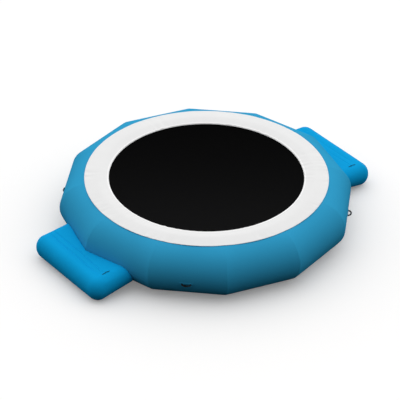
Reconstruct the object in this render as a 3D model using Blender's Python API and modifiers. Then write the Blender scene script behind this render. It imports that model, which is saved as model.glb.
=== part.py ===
# Water trampoline, in metres, +Z up, standing on z = 0 with its middle over the origin.
# An inflated ring of straight mitred lengths carries a round steel frame. Springs stretch
# a jump mat inside the frame, a padded ring covers them, and an inflated boarding platform
# is hinged to the ring at either end of the X axis.

import math

import bmesh
import bpy
from mathutils import Matrix, Vector

# Inflated ring
ACROSS_FLATS = 4.88
TUBE_DIAMETER = 0.91
TUBE_WALL = 0.004
RING_LENGTHS = 12
TUBE_FACETS = 32

# Gaps between pieces that touch
SEAT_GAP = 0.0003
OVERRUN = 0.02

# Round pieces turn in equal steps, so that neighbours share their facets
ROUND_STEPS = 48

# Jump mat with its webbing hem
MAT_DIAMETER = 3.32
MAT_THICKNESS = 0.003
HEM_WIDTH = 0.016
HEM_THICKNESS = 0.003
HEM_END_GAP = 0.004

# Wire rings sewn to the hem
VEE_REACH = 0.024
VEE_WIDTH = 0.036
VEE_WIRE = 0.0044
VEE_ROOT = 0.008

# Springs
SPRINGS_PER_LENGTH = 4
SPRING_SPAN = 0.125
SPRING_DIAMETER = 0.016
SPRING_NECK = 0.014
SPRING_WIRE = 0.0036
SPRING_SIDES = 5
SPRING_TURN = 0.2
HOOK_RISE = 0.0034
HOOK_WIRE = 0.0030
HOOK_ASIDE = 0.0004
HOOK_DEPTH = 0.010
HOOK_CLEARANCE = 0.0012

# Steel frame
FRAME_TUBE = 0.038
FRAME_WALL = 0.0016
FRAME_SECTIONS = 6
FRAME_JOINT_GAP = 0.004
FRAME_SIDES = 8
MAT_BELOW_FRAME = 0.010
SLEEVE_WALL = 0.003
SLEEVE_LENGTH = 0.14

# Webbing straps that tie the frame to the ring
STRAP_WIDTH = 0.05
STRAP_THICKNESS = 0.0025
STRAP_FOOT = 0.07
STRAP_COUNT = 6

# Safety pad
PAD_MAT_OVERLAP = 0.003
PAD_WIDTH = 0.432
PAD_THICKNESS = 0.015
PAD_EDGE = 0.009
PAD_TOP_POINTS = 7

# Boarding platforms
PLATFORM_LENGTH = 1.781
PLATFORM_DEPTH = 0.439
PLATFORM_HEIGHT = 0.381
PLATFORM_FULLEST = 0.190
PLATFORM_TUCK = 0.46
PLATFORM_TOP_ROLL = 0.070
PLATFORM_BOTTOM_ROLL = 0.165
PLATFORM_CORNER = 0.1435
PLATFORM_LEAST_CORNER = 0.02
PLATFORM_LEAN = math.radians(8.2)
PLATFORM_SETTLE = 0.004
PLATFORM_WALL = 0.004
PLATFORM_LEVELS = 10
PLATFORM_CORNER_STEPS = 5
CHANNEL_FROM_OUTER = 0.415
CHANNEL_WIDTH = 0.05
CHANNEL_DEPTH = 0.006
CHANNEL_STEPS = 64

# Hinge flaps in the crease between a platform and the ring
FLAP_THICKNESS = 0.003
FLAP_FACETS = 2
FLAP_LENGTH = 0.58

# Webbing grab handles on the platforms
HANDLE_SPAN = 0.12
HANDLE_FOOT = 0.032
HANDLE_RISE = 0.024
HANDLE_WIDTH = 0.028
HANDLE_STRAP = 0.003
HANDLE_FROM_END = 0.207
RIGHT_HANDLE_FROM_OUTER = 0.322
LEFT_HANDLE_FROM_OUTER = 0.413
HANDLE_ARCH_STEPS = 8

# Anchor loops round the ring
LOOP_SPAN = 0.166
LOOP_REACH = 0.071
LOOP_THICKNESS = 0.021
LOOP_FACET = -1
LOOP_LIFT = 0.015
LOOP_STEPS = 12
LOOP_PATCH_WIDTH = 0.236
LOOP_PATCH_HEIGHT = 0.050
LOOP_PATCH_THICKNESS = 0.006
LOOP_PATCH_STEPS = 6
LOOP_FACES = (1, 4, 7, 10)

# Inflation valves
VALVE_FLANGE = 0.054
VALVE_FLANGE_THICKNESS = 0.0036
VALVE_BARREL = 0.032
VALVE_BARREL_DEPTH = 0.030
VALVE_BORE = 0.022
VALVE_BORE_DEPTH = 0.018
VALVE_STEPS = 14
PLUNGER_HEAD = 0.014
PLUNGER_HEAD_THICKNESS = 0.0035
PLUNGER_HEAD_DEPTH = 0.004
PLUNGER_STEM = 0.007
PLUNGER_POPPET = 0.016
PLUNGER_POPPET_THICKNESS = 0.003
PLUNGER_CLEARANCE = 0.0005
PLUNGER_TRAVEL = 0.006
CAP_DIAMETER = 0.042
CAP_THICKNESS = 0.0055
CAP_PLUG_DEPTH = 0.006
CAP_GRIP_WIDTH = 0.006
CAP_GRIP_HEIGHT = 0.006
CAP_GRIP_LENGTH = 0.034
CAP_EDGE = 0.0012
TUBE_VALVE_FACE = 2
TUBE_VALVE_FACET = 2
PLATFORM_VALVE_LEVEL = 6

# Colours as the photograph shows them, in linear values
BLUE = (0.018, 0.235, 0.465)
BRIGHT_BLUE = (0.008, 0.330, 0.655)
BLACK = (0.008, 0.008, 0.009)
WHITE = (0.80, 0.80, 0.80)
STEEL = (0.48, 0.49, 0.50)
GREY = (0.20, 0.21, 0.22)

# Ring section and the places that follow from it
TUBE_RADIUS = TUBE_DIAMETER / 2
HALF_TURN = math.pi
LENGTH_ANGLE = 2 * HALF_TURN / RING_LENGTHS
HALF_LENGTH_ANGLE = LENGTH_ANGLE / 2
FACET_ANGLE = 2 * HALF_TURN / TUBE_FACETS
HALF_FACET = FACET_ANGLE / 2
ROUND_ANGLE = 2 * HALF_TURN / ROUND_STEPS
SECTION_ANGLE = 2 * HALF_TURN / FRAME_SECTIONS
LIE_ALONG_X = Matrix.Rotation(HALF_TURN / 2, 4, "Y")
TUBE_REACH = ACROSS_FLATS / 2 - TUBE_RADIUS
TUBE_HEIGHT = TUBE_RADIUS * math.cos(HALF_FACET)
CORNER_RADIUS = (TUBE_REACH + TUBE_HEIGHT) / math.cos(HALF_LENGTH_ANGLE)
TUBE_CROWN = 2 * TUBE_HEIGHT

# Mat, springs and frame radii, from the middle outwards
MAT_RADIUS = MAT_DIAMETER / 2
HEM_INNER = MAT_RADIUS + SEAT_GAP
HEM_OUTER = HEM_INNER + HEM_WIDTH
VEE_TIP = HEM_OUTER + VEE_REACH
FRAME_RADIUS = FRAME_TUBE / 2
SPRING_END = VEE_TIP + SPRING_SPAN
FRAME_REACH = SPRING_END + FRAME_RADIUS
SLEEVE_INNER = FRAME_RADIUS + SEAT_GAP / math.cos(HALF_TURN / FRAME_SIDES)
SLEEVE_OUTER = SLEEVE_INNER + SLEEVE_WALL
STRAP_BEND = STRAP_WIDTH / 2 * math.tan(ROUND_ANGLE / 2)


def section_point(radius, angle):
    """A point on the ring's section: its reach from the Z axis square to a side, and its height."""
    reach = TUBE_REACH + radius * math.cos(angle)
    height = TUBE_HEIGHT + radius * math.sin(angle)
    return reach, height


def offset_radius(distance):
    """The section radius whose facets lie a distance outside the ring's own."""
    return TUBE_RADIUS + distance / math.cos(HALF_FACET)


def section_top(reach, radius=TUBE_RADIUS):
    """The height of the faceted top of a ring's section at a reach square to a side."""
    for index in range(TUBE_FACETS // 2):
        high = section_point(radius, HALF_FACET + index * FACET_ANGLE)
        low = section_point(radius, HALF_FACET + (index + 1) * FACET_ANGLE)
        if low[0] <= reach <= high[0]:
            share = (reach - low[0]) / (high[0] - low[0])
            return low[1] + share * (high[1] - low[1])
    return TUBE_HEIGHT


def roof_line(start, end, radius):
    """Points on the section's faceted top from one reach to another, its corners included."""
    points = [(start, section_top(start, radius))]
    for index in range(TUBE_FACETS // 2, -1, -1):
        corner = section_point(radius, HALF_FACET + index * FACET_ANGLE)
        if start < corner[0] < end:
            points.append(corner)
    points.append((end, section_top(end, radius)))
    return points


def frame_seat_height():
    """The height at which the frame's faceted tube just rests on the ring."""
    corner_step = 2 * HALF_TURN / FRAME_SIDES
    lift = 0.0
    for index in range(FRAME_SIDES):
        angle = index * corner_step
        reach = FRAME_REACH + FRAME_RADIUS * math.cos(angle)
        lift = max(lift, section_top(reach) - FRAME_RADIUS * math.sin(angle))
    for index in range(TUBE_FACETS):
        reach, height = section_point(TUBE_RADIUS, HALF_FACET + index * FACET_ANGLE)
        across = reach - FRAME_REACH
        if abs(across) < FRAME_RADIUS and height > TUBE_HEIGHT:
            lift = max(lift, height + frame_underside(across))
    return lift + SEAT_GAP


def frame_underside(across):
    """How far the frame's faceted underside lies below its middle at a distance across."""
    step = 2 * HALF_TURN / FRAME_SIDES
    for index in range(FRAME_SIDES // 2):
        near = FRAME_RADIUS * math.cos(index * step)
        far = FRAME_RADIUS * math.cos((index + 1) * step)
        if far <= across <= near:
            deep = FRAME_RADIUS * math.sin(index * step)
            deeper = FRAME_RADIUS * math.sin((index + 1) * step)
            share = (across - far) / (near - far)
            return deeper + share * (deep - deeper)
    return 0.0


FRAME_HEIGHT = frame_seat_height()
MAT_HEIGHT = FRAME_HEIGHT - MAT_BELOW_FRAME
MAT_TOP = MAT_HEIGHT + MAT_THICKNESS / 2
SPRING_SLOPE = math.atan2(MAT_BELOW_FRAME, SPRING_SPAN)

# Platform places
PLATFORM_OUTER = CORNER_RADIUS + PLATFORM_DEPTH
PLATFORM_INNER = PLATFORM_OUTER - PLATFORM_DEPTH - PLATFORM_TUCK
PLATFORM_GAP = FLAP_THICKNESS + 2 * SEAT_GAP
ROLL_REACH = PLATFORM_BOTTOM_ROLL * math.sin(PLATFORM_LEAN)
ROLL_HEIGHT = PLATFORM_FULLEST * math.cos(PLATFORM_LEAN)
PLATFORM_DROP = ROLL_REACH + ROLL_HEIGHT - math.hypot(ROLL_REACH, ROLL_HEIGHT) + PLATFORM_SETTLE
HALF_LENGTH = (ACROSS_FLATS / 2) * math.tan(HALF_LENGTH_ANGLE)
FLAP_FROM_MIDDLE = (HALF_LENGTH - FLAP_LENGTH / 2) / 2


def clear_scene():
    for old in list(bpy.data.objects):
        bpy.data.objects.remove(old)


def new_collection(name):
    collection = bpy.data.collections.new(name)
    bpy.context.scene.collection.children.link(collection)
    return collection


def make_material(name, colour, roughness, metallic=0.0):
    material = bpy.data.materials.new(name)
    material.use_nodes = True
    shader = material.node_tree.nodes["Principled BSDF"]
    shader.inputs["Base Color"].default_value = (*colour, 1.0)
    shader.inputs["Roughness"].default_value = roughness
    shader.inputs["Metallic"].default_value = metallic
    return material


clear_scene()
PARTS = new_collection("water_trampoline")
CUTTERS = new_collection("cutters")


def finish_part(obj, colour, roughness, metallic=0.0):
    """Gives a sub-part its own material and smooth shading between its sharp edges."""
    obj.data.materials.clear()
    obj.data.materials.append(make_material(obj.name, colour, roughness, metallic))
    obj.data.shade_smooth()
    obj.data.set_sharp_from_angle(angle=math.radians(35))
    return obj


def as_cutter(obj):
    for collection in list(obj.users_collection):
        collection.objects.unlink(obj)
    CUTTERS.objects.link(obj)
    obj.hide_render = True
    obj.display_type = "WIRE"
    return obj


def object_from_bmesh(name, bm):
    bmesh.ops.recalc_face_normals(bm, faces=bm.faces)
    mesh = bpy.data.meshes.new(name)
    bm.to_mesh(mesh)
    bm.free()
    obj = bpy.data.objects.new(name, mesh)
    PARTS.objects.link(obj)
    return obj


def evaluated_mesh(obj, weld):
    """The mesh of an object with its modifiers, welded where a curve's caps are loose."""
    depsgraph = bpy.context.evaluated_depsgraph_get()
    mesh = bpy.data.meshes.new_from_object(obj.evaluated_get(depsgraph))
    if weld:
        bm = bmesh.new()
        bm.from_mesh(mesh)
        bmesh.ops.remove_doubles(bm, verts=bm.verts, dist=SEAT_GAP / 10)
        bm.to_mesh(mesh)
        bm.free()
    return mesh


def turned(name, profile, steps, closed=False):
    """A profile of (radius, height) points, top to bottom on its outer side, turned about Z."""
    mesh = bpy.data.meshes.new(name)
    edges = [(i, i + 1) for i in range(len(profile) - 1)]
    if closed:
        edges.append((len(profile) - 1, 0))
    mesh.from_pydata([(radius, 0.0, height) for radius, height in profile], edges, [])
    obj = bpy.data.objects.new(name, mesh)
    PARTS.objects.link(obj)
    screw = obj.modifiers.new("turn", "SCREW")
    screw.axis = "Z"
    screw.steps = steps
    screw.render_steps = steps
    screw.use_merge_vertices = True
    screw.merge_threshold = SEAT_GAP / 10
    return obj


def settled(obj, weld=False):
    """Replaces an object by a mesh object of its evaluated shape, under the same name."""
    name = obj.name
    mesh = evaluated_mesh(obj, weld)
    matrix = obj.matrix_world.copy()
    bpy.data.objects.remove(obj)
    mesh.name = name
    new = bpy.data.objects.new(name, mesh)
    new.matrix_world = matrix
    PARTS.objects.link(new)
    return new


def bar_along(name, points, radius, resolution, cyclic=False):
    """A round bar of one thickness along points, as a welded mesh object."""
    curve = bpy.data.curves.new(name, "CURVE")
    curve.dimensions = "3D"
    curve.bevel_depth = radius
    curve.bevel_resolution = resolution
    curve.use_fill_caps = not cyclic
    spline = curve.splines.new("POLY")
    spline.points.add(len(points) - 1)
    for spot, point in zip(spline.points, points):
        spot.co = (*point, 1.0)
    spline.use_cyclic_u = cyclic
    obj = bpy.data.objects.new(name, curve)
    PARTS.objects.link(obj)
    bpy.context.view_layer.update()
    return settled(obj, weld=True)


def plate(name, outline, thickness):
    """A flat outline in its own XY plane, as thick as given about that plane."""
    curve = bpy.data.curves.new(name, "CURVE")
    curve.dimensions = "2D"
    curve.fill_mode = "BOTH"
    curve.extrude = thickness / 2
    spline = curve.splines.new("POLY")
    spline.points.add(len(outline) - 1)
    for spot, (across, along) in zip(spline.points, outline):
        spot.co = (across, along, 0.0, 1.0)
    spline.use_cyclic_u = True
    obj = bpy.data.objects.new(name, curve)
    PARTS.objects.link(obj)
    bpy.context.view_layer.update()
    return settled(obj, weld=True)


def cut(obj, cutter, operation="DIFFERENCE"):
    boolean = obj.modifiers.new(operation.lower(), "BOOLEAN")
    boolean.operation = operation
    boolean.solver = "EXACT"
    boolean.object = as_cutter(cutter)
    return obj


def copy_of(obj, name, matrix):
    """Another object of the same mesh, placed by a matrix."""
    new = bpy.data.objects.new(name, obj.data)
    new.matrix_world = matrix
    PARTS.objects.link(new)
    return new


def turn_about_z(angle):
    return Matrix.Rotation(angle, 4, "Z")


def on_round(radius, angle):
    """A point of the many-sided ring of a radius, whose corners stand at whole steps."""
    within = angle % ROUND_ANGLE - ROUND_ANGLE / 2
    reach = radius * math.cos(ROUND_ANGLE / 2) / math.cos(within)
    return reach * math.cos(angle), reach * math.sin(angle)


def round_arc(radius, start, end):
    """Points of the many-sided ring from one angle to another, its corners included."""
    angles = [start]
    step = math.floor(start / ROUND_ANGLE + 1.001)
    while step * ROUND_ANGLE < end - ROUND_ANGLE / 1000:
        angles.append(step * ROUND_ANGLE)
        step += 1
    angles.append(end)
    return [on_round(radius, angle) for angle in angles]


def ring_profile(radius):
    """The closed section of the ring, with its reach drawn out to the mitred corners."""
    points = []
    for index in range(TUBE_FACETS):
        reach, height = section_point(radius, HALF_FACET - index * FACET_ANGLE)
        points.append((reach / math.cos(HALF_LENGTH_ANGLE), height))
    return points


def face_matrix(face, reach, height, tilt):
    """A place on a side of the ring: X along the side, Z out of the surface at a tilt."""
    angle = HALF_LENGTH_ANGLE + face * LENGTH_ANGLE
    turn = turn_about_z(angle)
    outward = turn @ Vector((math.cos(tilt), 0.0, math.sin(tilt)))
    along = turn @ Vector((0.0, 1.0, 0.0))
    up = outward.cross(along)
    place = turn @ Vector((reach, 0.0, height))
    matrix = Matrix((along, up, outward)).transposed().to_4x4()
    matrix.translation = place
    return matrix


def strip(name, outline, length, place):
    """An outline of (reach, height) points, as long as given along the local Y axis."""
    bm = bmesh.new()
    ends = []
    for along in (-length / 2, length / 2):
        ends.append([bm.verts.new((across, along, height)) for across, height in outline])
    count = len(outline)
    for index in range(count):
        after = (index + 1) % count
        bm.faces.new((ends[0][index], ends[0][after], ends[1][after], ends[1][index]))
    bm.faces.new(ends[0])
    bm.faces.new(ends[1])
    obj = object_from_bmesh(name, bm)
    obj.matrix_world = place
    return obj


# Valves

def valve_body_profile():
    flange = VALVE_FLANGE / 2
    barrel = VALVE_BARREL / 2
    bore = VALVE_BORE / 2
    hole = PLUNGER_STEM / 2 + PLUNGER_CLEARANCE
    top = SEAT_GAP + VALVE_FLANGE_THICKNESS
    return [
        (bore, top), (flange - CAP_EDGE, top), (flange, top - CAP_EDGE), (flange, SEAT_GAP),
        (barrel, SEAT_GAP), (barrel, -VALVE_BARREL_DEPTH), (hole, -VALVE_BARREL_DEPTH),
        (hole, -VALVE_BORE_DEPTH), (bore, -VALVE_BORE_DEPTH),
    ]


def plunger_profile():
    head = PLUNGER_HEAD / 2
    stem = PLUNGER_STEM / 2
    poppet = PLUNGER_POPPET / 2
    seat = -VALVE_BARREL_DEPTH - SEAT_GAP
    under_head = -PLUNGER_HEAD_DEPTH - PLUNGER_HEAD_THICKNESS
    return [
        (0.0, -PLUNGER_HEAD_DEPTH), (head, -PLUNGER_HEAD_DEPTH), (head, under_head),
        (stem, under_head), (stem, seat), (poppet, seat),
        (poppet, seat - PLUNGER_POPPET_THICKNESS), (0.0, seat - PLUNGER_POPPET_THICKNESS),
    ]


def cap_profile():
    outer = CAP_DIAMETER / 2
    plug = VALVE_BORE / 2 - SEAT_GAP
    foot = VALVE_FLANGE_THICKNESS + 2 * SEAT_GAP
    top = foot + CAP_THICKNESS
    return [
        (0.0, top), (outer - CAP_EDGE, top), (outer, top - CAP_EDGE), (outer, foot),
        (plug, foot), (plug, foot - CAP_PLUG_DEPTH), (0.0, foot - CAP_PLUG_DEPTH),
    ]


def make_valve(prefix, matrix, skin, wall):
    """A valve set into an inflated skin: it opens the skin, and adds body, plunger and cap."""
    hole = turned(prefix + "_hole_cutter", [
        (0.0, OVERRUN), (VALVE_BARREL / 2 + SEAT_GAP, OVERRUN),
        (VALVE_BARREL / 2 + SEAT_GAP, -wall - OVERRUN), (0.0, -wall - OVERRUN)], VALVE_STEPS)
    hole.matrix_world = matrix
    cut(skin, hole)

    body = turned(prefix + "_body", valve_body_profile(), VALVE_STEPS, closed=True)
    body.matrix_world = matrix
    finish_part(body, GREY, 0.45)

    plunger = turned(prefix + "_plunger", plunger_profile(), VALVE_STEPS // 2)
    plunger.matrix_world = matrix
    finish_part(plunger, WHITE, 0.4)

    cap = turned(prefix + "_cap", cap_profile(), VALVE_STEPS)
    cap.matrix_world = matrix
    grip = new_box(prefix + "_grip_cutter", CAP_GRIP_LENGTH, CAP_GRIP_WIDTH,
                   CAP_GRIP_HEIGHT + CAP_EDGE)
    top = VALVE_FLANGE_THICKNESS + 2 * SEAT_GAP + CAP_THICKNESS
    middle = top + (CAP_GRIP_HEIGHT - CAP_EDGE) / 2
    grip.matrix_world = matrix @ Matrix.Translation((0.0, 0.0, middle))
    cut(cap, grip, "UNION")
    finish_part(cap, BLACK, 0.5)


def new_box(name, length, width, height):
    bm = bmesh.new()
    bmesh.ops.create_cube(bm, size=1.0)
    bmesh.ops.scale(bm, vec=(length, width, height), verts=bm.verts)
    return object_from_bmesh(name, bm)


# Inflated ring

def make_tube_length(name):
    """One straight length of the ring: a thin skin, cut off at the mitres at both ends."""
    bm = bmesh.new()
    slant = math.tan(HALF_LENGTH_ANGLE)
    back = SEAT_GAP / 2 / math.cos(HALF_LENGTH_ANGLE)
    loops = []
    for radius in (TUBE_RADIUS, offset_radius(-TUBE_WALL)):
        for side in (-1, 1):
            loop = []
            for index in range(TUBE_FACETS):
                reach, height = section_point(radius, HALF_FACET + index * FACET_ANGLE)
                loop.append(bm.verts.new((reach, side * (reach * slant - back), height)))
            loops.append(loop)
    for first, second in ((0, 1), (1, 3), (3, 2), (2, 0)):
        for index in range(TUBE_FACETS):
            after = (index + 1) % TUBE_FACETS
            bm.faces.new((loops[first][index], loops[first][after],
                          loops[second][after], loops[second][index]))
    return object_from_bmesh(name, bm)


def make_main_tube():
    """The ring's twelve lengths; the one at the back carries the inflation valve."""
    plain = None
    for face in range(RING_LENGTHS):
        name = f"tube_length_{face + 1}"
        turn = turn_about_z(HALF_LENGTH_ANGLE + face * LENGTH_ANGLE)
        if face == TUBE_VALVE_FACE:
            length = make_tube_length(name)
            length.matrix_world = turn
            finish_part(length, BLUE, 0.45)
            tilt = TUBE_VALVE_FACET * FACET_ANGLE
            reach, height = section_point(TUBE_HEIGHT, tilt)
            place = face_matrix(face, reach, height, tilt)
            make_valve("tube_valve", place, length, TUBE_WALL)
        elif plain is None:
            plain = make_tube_length(name)
            plain.matrix_world = turn
            finish_part(plain, BLUE, 0.45)
        else:
            copy_of(plain, name, turn)


# Frame

def spring_angles():
    """The springs' angles within one section of the frame, from its first end."""
    spacing = LENGTH_ANGLE / SPRINGS_PER_LENGTH
    count = SPRINGS_PER_LENGTH * RING_LENGTHS // FRAME_SECTIONS
    return [(index + 0.5) * spacing for index in range(count)]


def spring_place(angle):
    """X runs up the spring's own slope from the mat towards the frame."""
    tip = Matrix.Translation((VEE_TIP, 0.0, MAT_HEIGHT))
    return turn_about_z(angle) @ tip @ Matrix.Rotation(-SPRING_SLOPE, 4, "Y")


def spring_length():
    return SPRING_SPAN / math.cos(SPRING_SLOPE)


def frame_bar(name, start, end, radius):
    """A bar of the frame's own sides along part of its ring."""
    arc = round_arc(FRAME_REACH, start, end)
    bar = bar_along(name, [(x, y, 0.0) for x, y in arc], radius, (FRAME_SIDES - 4) // 2)
    bar.matrix_world = Matrix.Translation((0.0, 0.0, FRAME_HEIGHT))
    return bar


def make_frame():
    half_gap = FRAME_JOINT_GAP / 2 / FRAME_REACH
    section = frame_bar("frame_section_1", half_gap, SECTION_ANGLE - half_gap, FRAME_RADIUS)
    past_end = OVERRUN / FRAME_REACH
    bore = frame_bar("frame_bore_cutter", -past_end, SECTION_ANGLE + past_end,
                     FRAME_RADIUS - FRAME_WALL)
    cut(section, bore)
    hole_radius = SPRING_WIRE / 2 + HOOK_CLEARANCE
    for index, angle in enumerate(spring_angles()):
        bm = bmesh.new()
        bmesh.ops.create_cone(bm, cap_ends=True, segments=SPRING_SIDES, radius1=hole_radius,
                              radius2=hole_radius, depth=2 * (HOOK_DEPTH + HOOK_CLEARANCE))
        hole = object_from_bmesh(f"spring_hole_cutter_{index}", bm)
        along = Matrix.Translation((spring_length(), 0.0, 0.0))
        hole.matrix_world = spring_place(angle) @ along @ LIE_ALONG_X
        cut(section, hole)
    bpy.context.view_layer.update()
    section = finish_part(settled(section), STEEL, 0.4, 1.0)
    for index in range(1, FRAME_SECTIONS):
        place = turn_about_z(index * SECTION_ANGLE) @ section.matrix_world
        copy_of(section, f"frame_section_{index + 1}", place)


def make_sleeves():
    """A short outer tube over each joint of the frame."""
    half_angle = math.asin(SLEEVE_LENGTH / 2 / FRAME_REACH)
    past_angle = half_angle + OVERRUN / FRAME_REACH
    sleeve = frame_bar("frame_sleeve_1", -half_angle, half_angle, SLEEVE_OUTER)
    bore = frame_bar("sleeve_bore_cutter", -past_angle, past_angle, SLEEVE_INNER)
    cut(sleeve, bore)
    bpy.context.view_layer.update()
    sleeve = finish_part(settled(sleeve), STEEL, 0.45, 1.0)
    for index in range(1, FRAME_SECTIONS):
        place = turn_about_z(index * SECTION_ANGLE) @ sleeve.matrix_world
        copy_of(sleeve, f"frame_sleeve_{index + 1}", place)


# Mat and springs

def make_mat():
    half = MAT_THICKNESS / 2
    profile = [(0.0, half), (MAT_RADIUS, half), (MAT_RADIUS, -half), (0.0, -half)]
    mat = turned("jump_mat", profile, ROUND_STEPS)
    mat.location.z = MAT_HEIGHT
    finish_part(mat, BLACK, 0.6)


def make_spring(angle, index):
    """A spring with its straight tail in the frame, and a hook over its wire ring."""
    wire = SPRING_WIRE / 2
    barrel = SPRING_DIAMETER / 2
    length = spring_length()
    shoulder = 1.5 * SPRING_NECK
    body = turned(f"spring_body_{index}", [
        (0.0, length + HOOK_DEPTH), (wire, length + HOOK_DEPTH), (wire, length - SPRING_NECK),
        (barrel, length - shoulder), (barrel, shoulder),
        (wire, SPRING_NECK), (wire, SPRING_NECK / 2), (0.0, SPRING_NECK / 2)], SPRING_SIDES)
    turn = turn_about_z(SPRING_TURN)
    body.matrix_world = spring_place(angle) @ LIE_ALONG_X @ turn

    hook = bar_along(f"spring_hook_{index}", [
        (SPRING_NECK * 0.8, 0.0, 0.0), (SPRING_NECK * 0.3, HOOK_ASIDE, HOOK_RISE),
        (-HOOK_RISE, HOOK_ASIDE, HOOK_RISE), (-2 * HOOK_RISE, HOOK_ASIDE, -HOOK_RISE / 2)],
        HOOK_WIRE / 2, 0)
    hook.matrix_world = spring_place(angle)

    inner = -VEE_REACH - VEE_ROOT
    vee = bar_along(f"vee_ring_{index}", [
        (inner, VEE_WIDTH / 2, 0.0), (inner, -VEE_WIDTH / 2, 0.0), (0.0, 0.0, 0.0)],
        VEE_WIRE / 2, 0, cyclic=True)
    vee.matrix_world = turn_about_z(angle) @ Matrix.Translation((VEE_TIP, 0.0, MAT_HEIGHT))
    return [body, hook, vee]


def make_spring_sets():
    """One run of hem webbing with its wire rings and springs, repeated round the mat."""
    gap = HEM_END_GAP / 2 / HEM_OUTER
    inner = round_arc(HEM_INNER, gap, SECTION_ANGLE - gap)
    outer = round_arc(HEM_OUTER, gap, SECTION_ANGLE - gap)
    hem = plate("spring_set_1", inner + outer[::-1], HEM_THICKNESS)
    hem.location.z = MAT_HEIGHT
    for index, angle in enumerate(spring_angles()):
        for piece in make_spring(angle, index):
            cut(hem, piece, "UNION")
    bpy.context.view_layer.update()
    hem = finish_part(settled(hem), STEEL, 0.4, 0.6)
    for index in range(1, FRAME_SECTIONS):
        place = turn_about_z(index * SECTION_ANGLE) @ hem.matrix_world
        copy_of(hem, f"spring_set_{index + 1}", place)


# Frame straps

def strap_line(distance):
    """The strap's course over the ring, the frame and the ring, a distance outside them."""
    ring = offset_radius(distance)
    corner = FRAME_RADIUS + (distance + STRAP_BEND) / math.cos(HALF_TURN / FRAME_SIDES)
    inner_end = FRAME_REACH - FRAME_RADIUS - STRAP_FOOT
    inner_rise = FRAME_REACH - FRAME_RADIUS - STRAP_FOOT / 3
    outer_rise = FRAME_REACH + FRAME_RADIUS + STRAP_FOOT / 3
    outer_end = FRAME_REACH + FRAME_RADIUS + STRAP_FOOT
    line = roof_line(inner_end, inner_rise, ring)
    for index in range(FRAME_SIDES // 2 - 1, 0, -1):
        angle = 2 * HALF_TURN * index / FRAME_SIDES
        line.append((FRAME_REACH + corner * math.cos(angle),
                     FRAME_HEIGHT + corner * math.sin(angle)))
    return line + roof_line(outer_rise, outer_end, ring)


def make_frame_straps():
    """Webbing over the frame, with a foot on the ring at either side."""
    outline = strap_line(SEAT_GAP) + strap_line(SEAT_GAP + STRAP_THICKNESS)[::-1]
    step = 2 * HALF_TURN / STRAP_COUNT
    strap = strip("frame_strap_1", outline, STRAP_WIDTH, turn_about_z(HALF_LENGTH_ANGLE))
    finish_part(strap, BLACK, 0.8)
    for index in range(1, STRAP_COUNT):
        place = turn_about_z(HALF_LENGTH_ANGLE + index * step)
        copy_of(strap, f"frame_strap_{index + 1}", place)


# Safety pad

def make_pad():
    inner = MAT_RADIUS - PAD_MAT_OVERLAP
    outer = inner + PAD_WIDTH
    over_hem = MAT_HEIGHT + max(HEM_THICKNESS, VEE_WIRE) / 2 + SEAT_GAP
    over_spring = SPRING_DIAMETER / 2 + 2 * SEAT_GAP
    strap_top = FRAME_HEIGHT + FRAME_RADIUS + STRAP_BEND + STRAP_THICKNESS
    sleeve_top = FRAME_HEIGHT + SLEEVE_OUTER
    over_frame = max(strap_top, sleeve_top) + 3 * SEAT_GAP
    rest = TUBE_CROWN + STRAP_THICKNESS + 3 * SEAT_GAP
    underside = [
        (inner, over_hem),
        (HEM_OUTER, over_hem + SEAT_GAP),
        (VEE_TIP + SPRING_NECK, MAT_HEIGHT + over_spring + SEAT_GAP),
        (SPRING_END - SPRING_NECK, FRAME_HEIGHT + over_spring),
        (FRAME_REACH - SLEEVE_OUTER, over_frame),
        (FRAME_REACH + SLEEVE_OUTER, over_frame),
        (FRAME_REACH + SLEEVE_OUTER + STRAP_FOOT, rest),
        (outer, rest),
    ]
    low = over_hem + PAD_EDGE
    high = rest + PAD_EDGE
    frame_share = (FRAME_REACH - inner) / PAD_WIDTH
    edge_line = low + (high - low) * frame_share
    crown = (over_frame + PAD_THICKNESS - edge_line) / math.sin(HALF_TURN * frame_share)
    top = []
    for index in range(PAD_TOP_POINTS):
        share = index / (PAD_TOP_POINTS - 1)
        height = low + (high - low) * share + crown * math.sin(HALF_TURN * share)
        top.append((inner + PAD_WIDTH * share, height))
    pad = turned("safety_pad", top + underside[::-1], ROUND_STEPS, closed=True)
    finish_part(pad, WHITE, 0.55)


# Platforms

def platform_outline(inset):
    """A level's plan, drawn in from the fullest one."""
    corner = max(PLATFORM_CORNER - inset, PLATFORM_LEAST_CORNER)
    half = PLATFORM_LENGTH / 2 - inset
    outer = PLATFORM_OUTER - inset
    inner = PLATFORM_INNER + inset
    centres = [
        (outer - corner, half - corner), (inner + corner, half - corner),
        (inner + corner, corner - half), (outer - corner, corner - half),
    ]
    points = []
    for quarter, (across, along) in enumerate(centres):
        for step in range(PLATFORM_CORNER_STEPS + 1):
            angle = HALF_TURN / 2 * (quarter + step / PLATFORM_CORNER_STEPS)
            points.append((across + corner * math.cos(angle), along + corner * math.sin(angle)))
    return points


def platform_level(level, shrink=0.0):
    """How far a level is drawn in, and its height, for a shape smaller all round by shrink."""
    angle = HALF_TURN * (level / PLATFORM_LEVELS - 0.5)
    roll = PLATFORM_TOP_ROLL if angle > 0.0 else PLATFORM_BOTTOM_ROLL
    reach = PLATFORM_HEIGHT - PLATFORM_FULLEST if angle > 0.0 else PLATFORM_FULLEST
    inset = shrink + (roll - shrink) * (1 - math.cos(angle))
    height = PLATFORM_FULLEST + (reach - shrink) * math.sin(angle)
    return inset, height


def platform_seat(side):
    """Leans a level platform about its outer lower edge, its inner side up, and lets it settle."""
    edge = Vector((side * PLATFORM_OUTER, 0.0, 0.0))
    down = Vector((0.0, 0.0, -PLATFORM_DROP))
    lean = Matrix.Rotation(side * PLATFORM_LEAN, 4, "Y")
    return Matrix.Translation(edge + down) @ lean @ Matrix.Translation(-edge)


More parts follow.
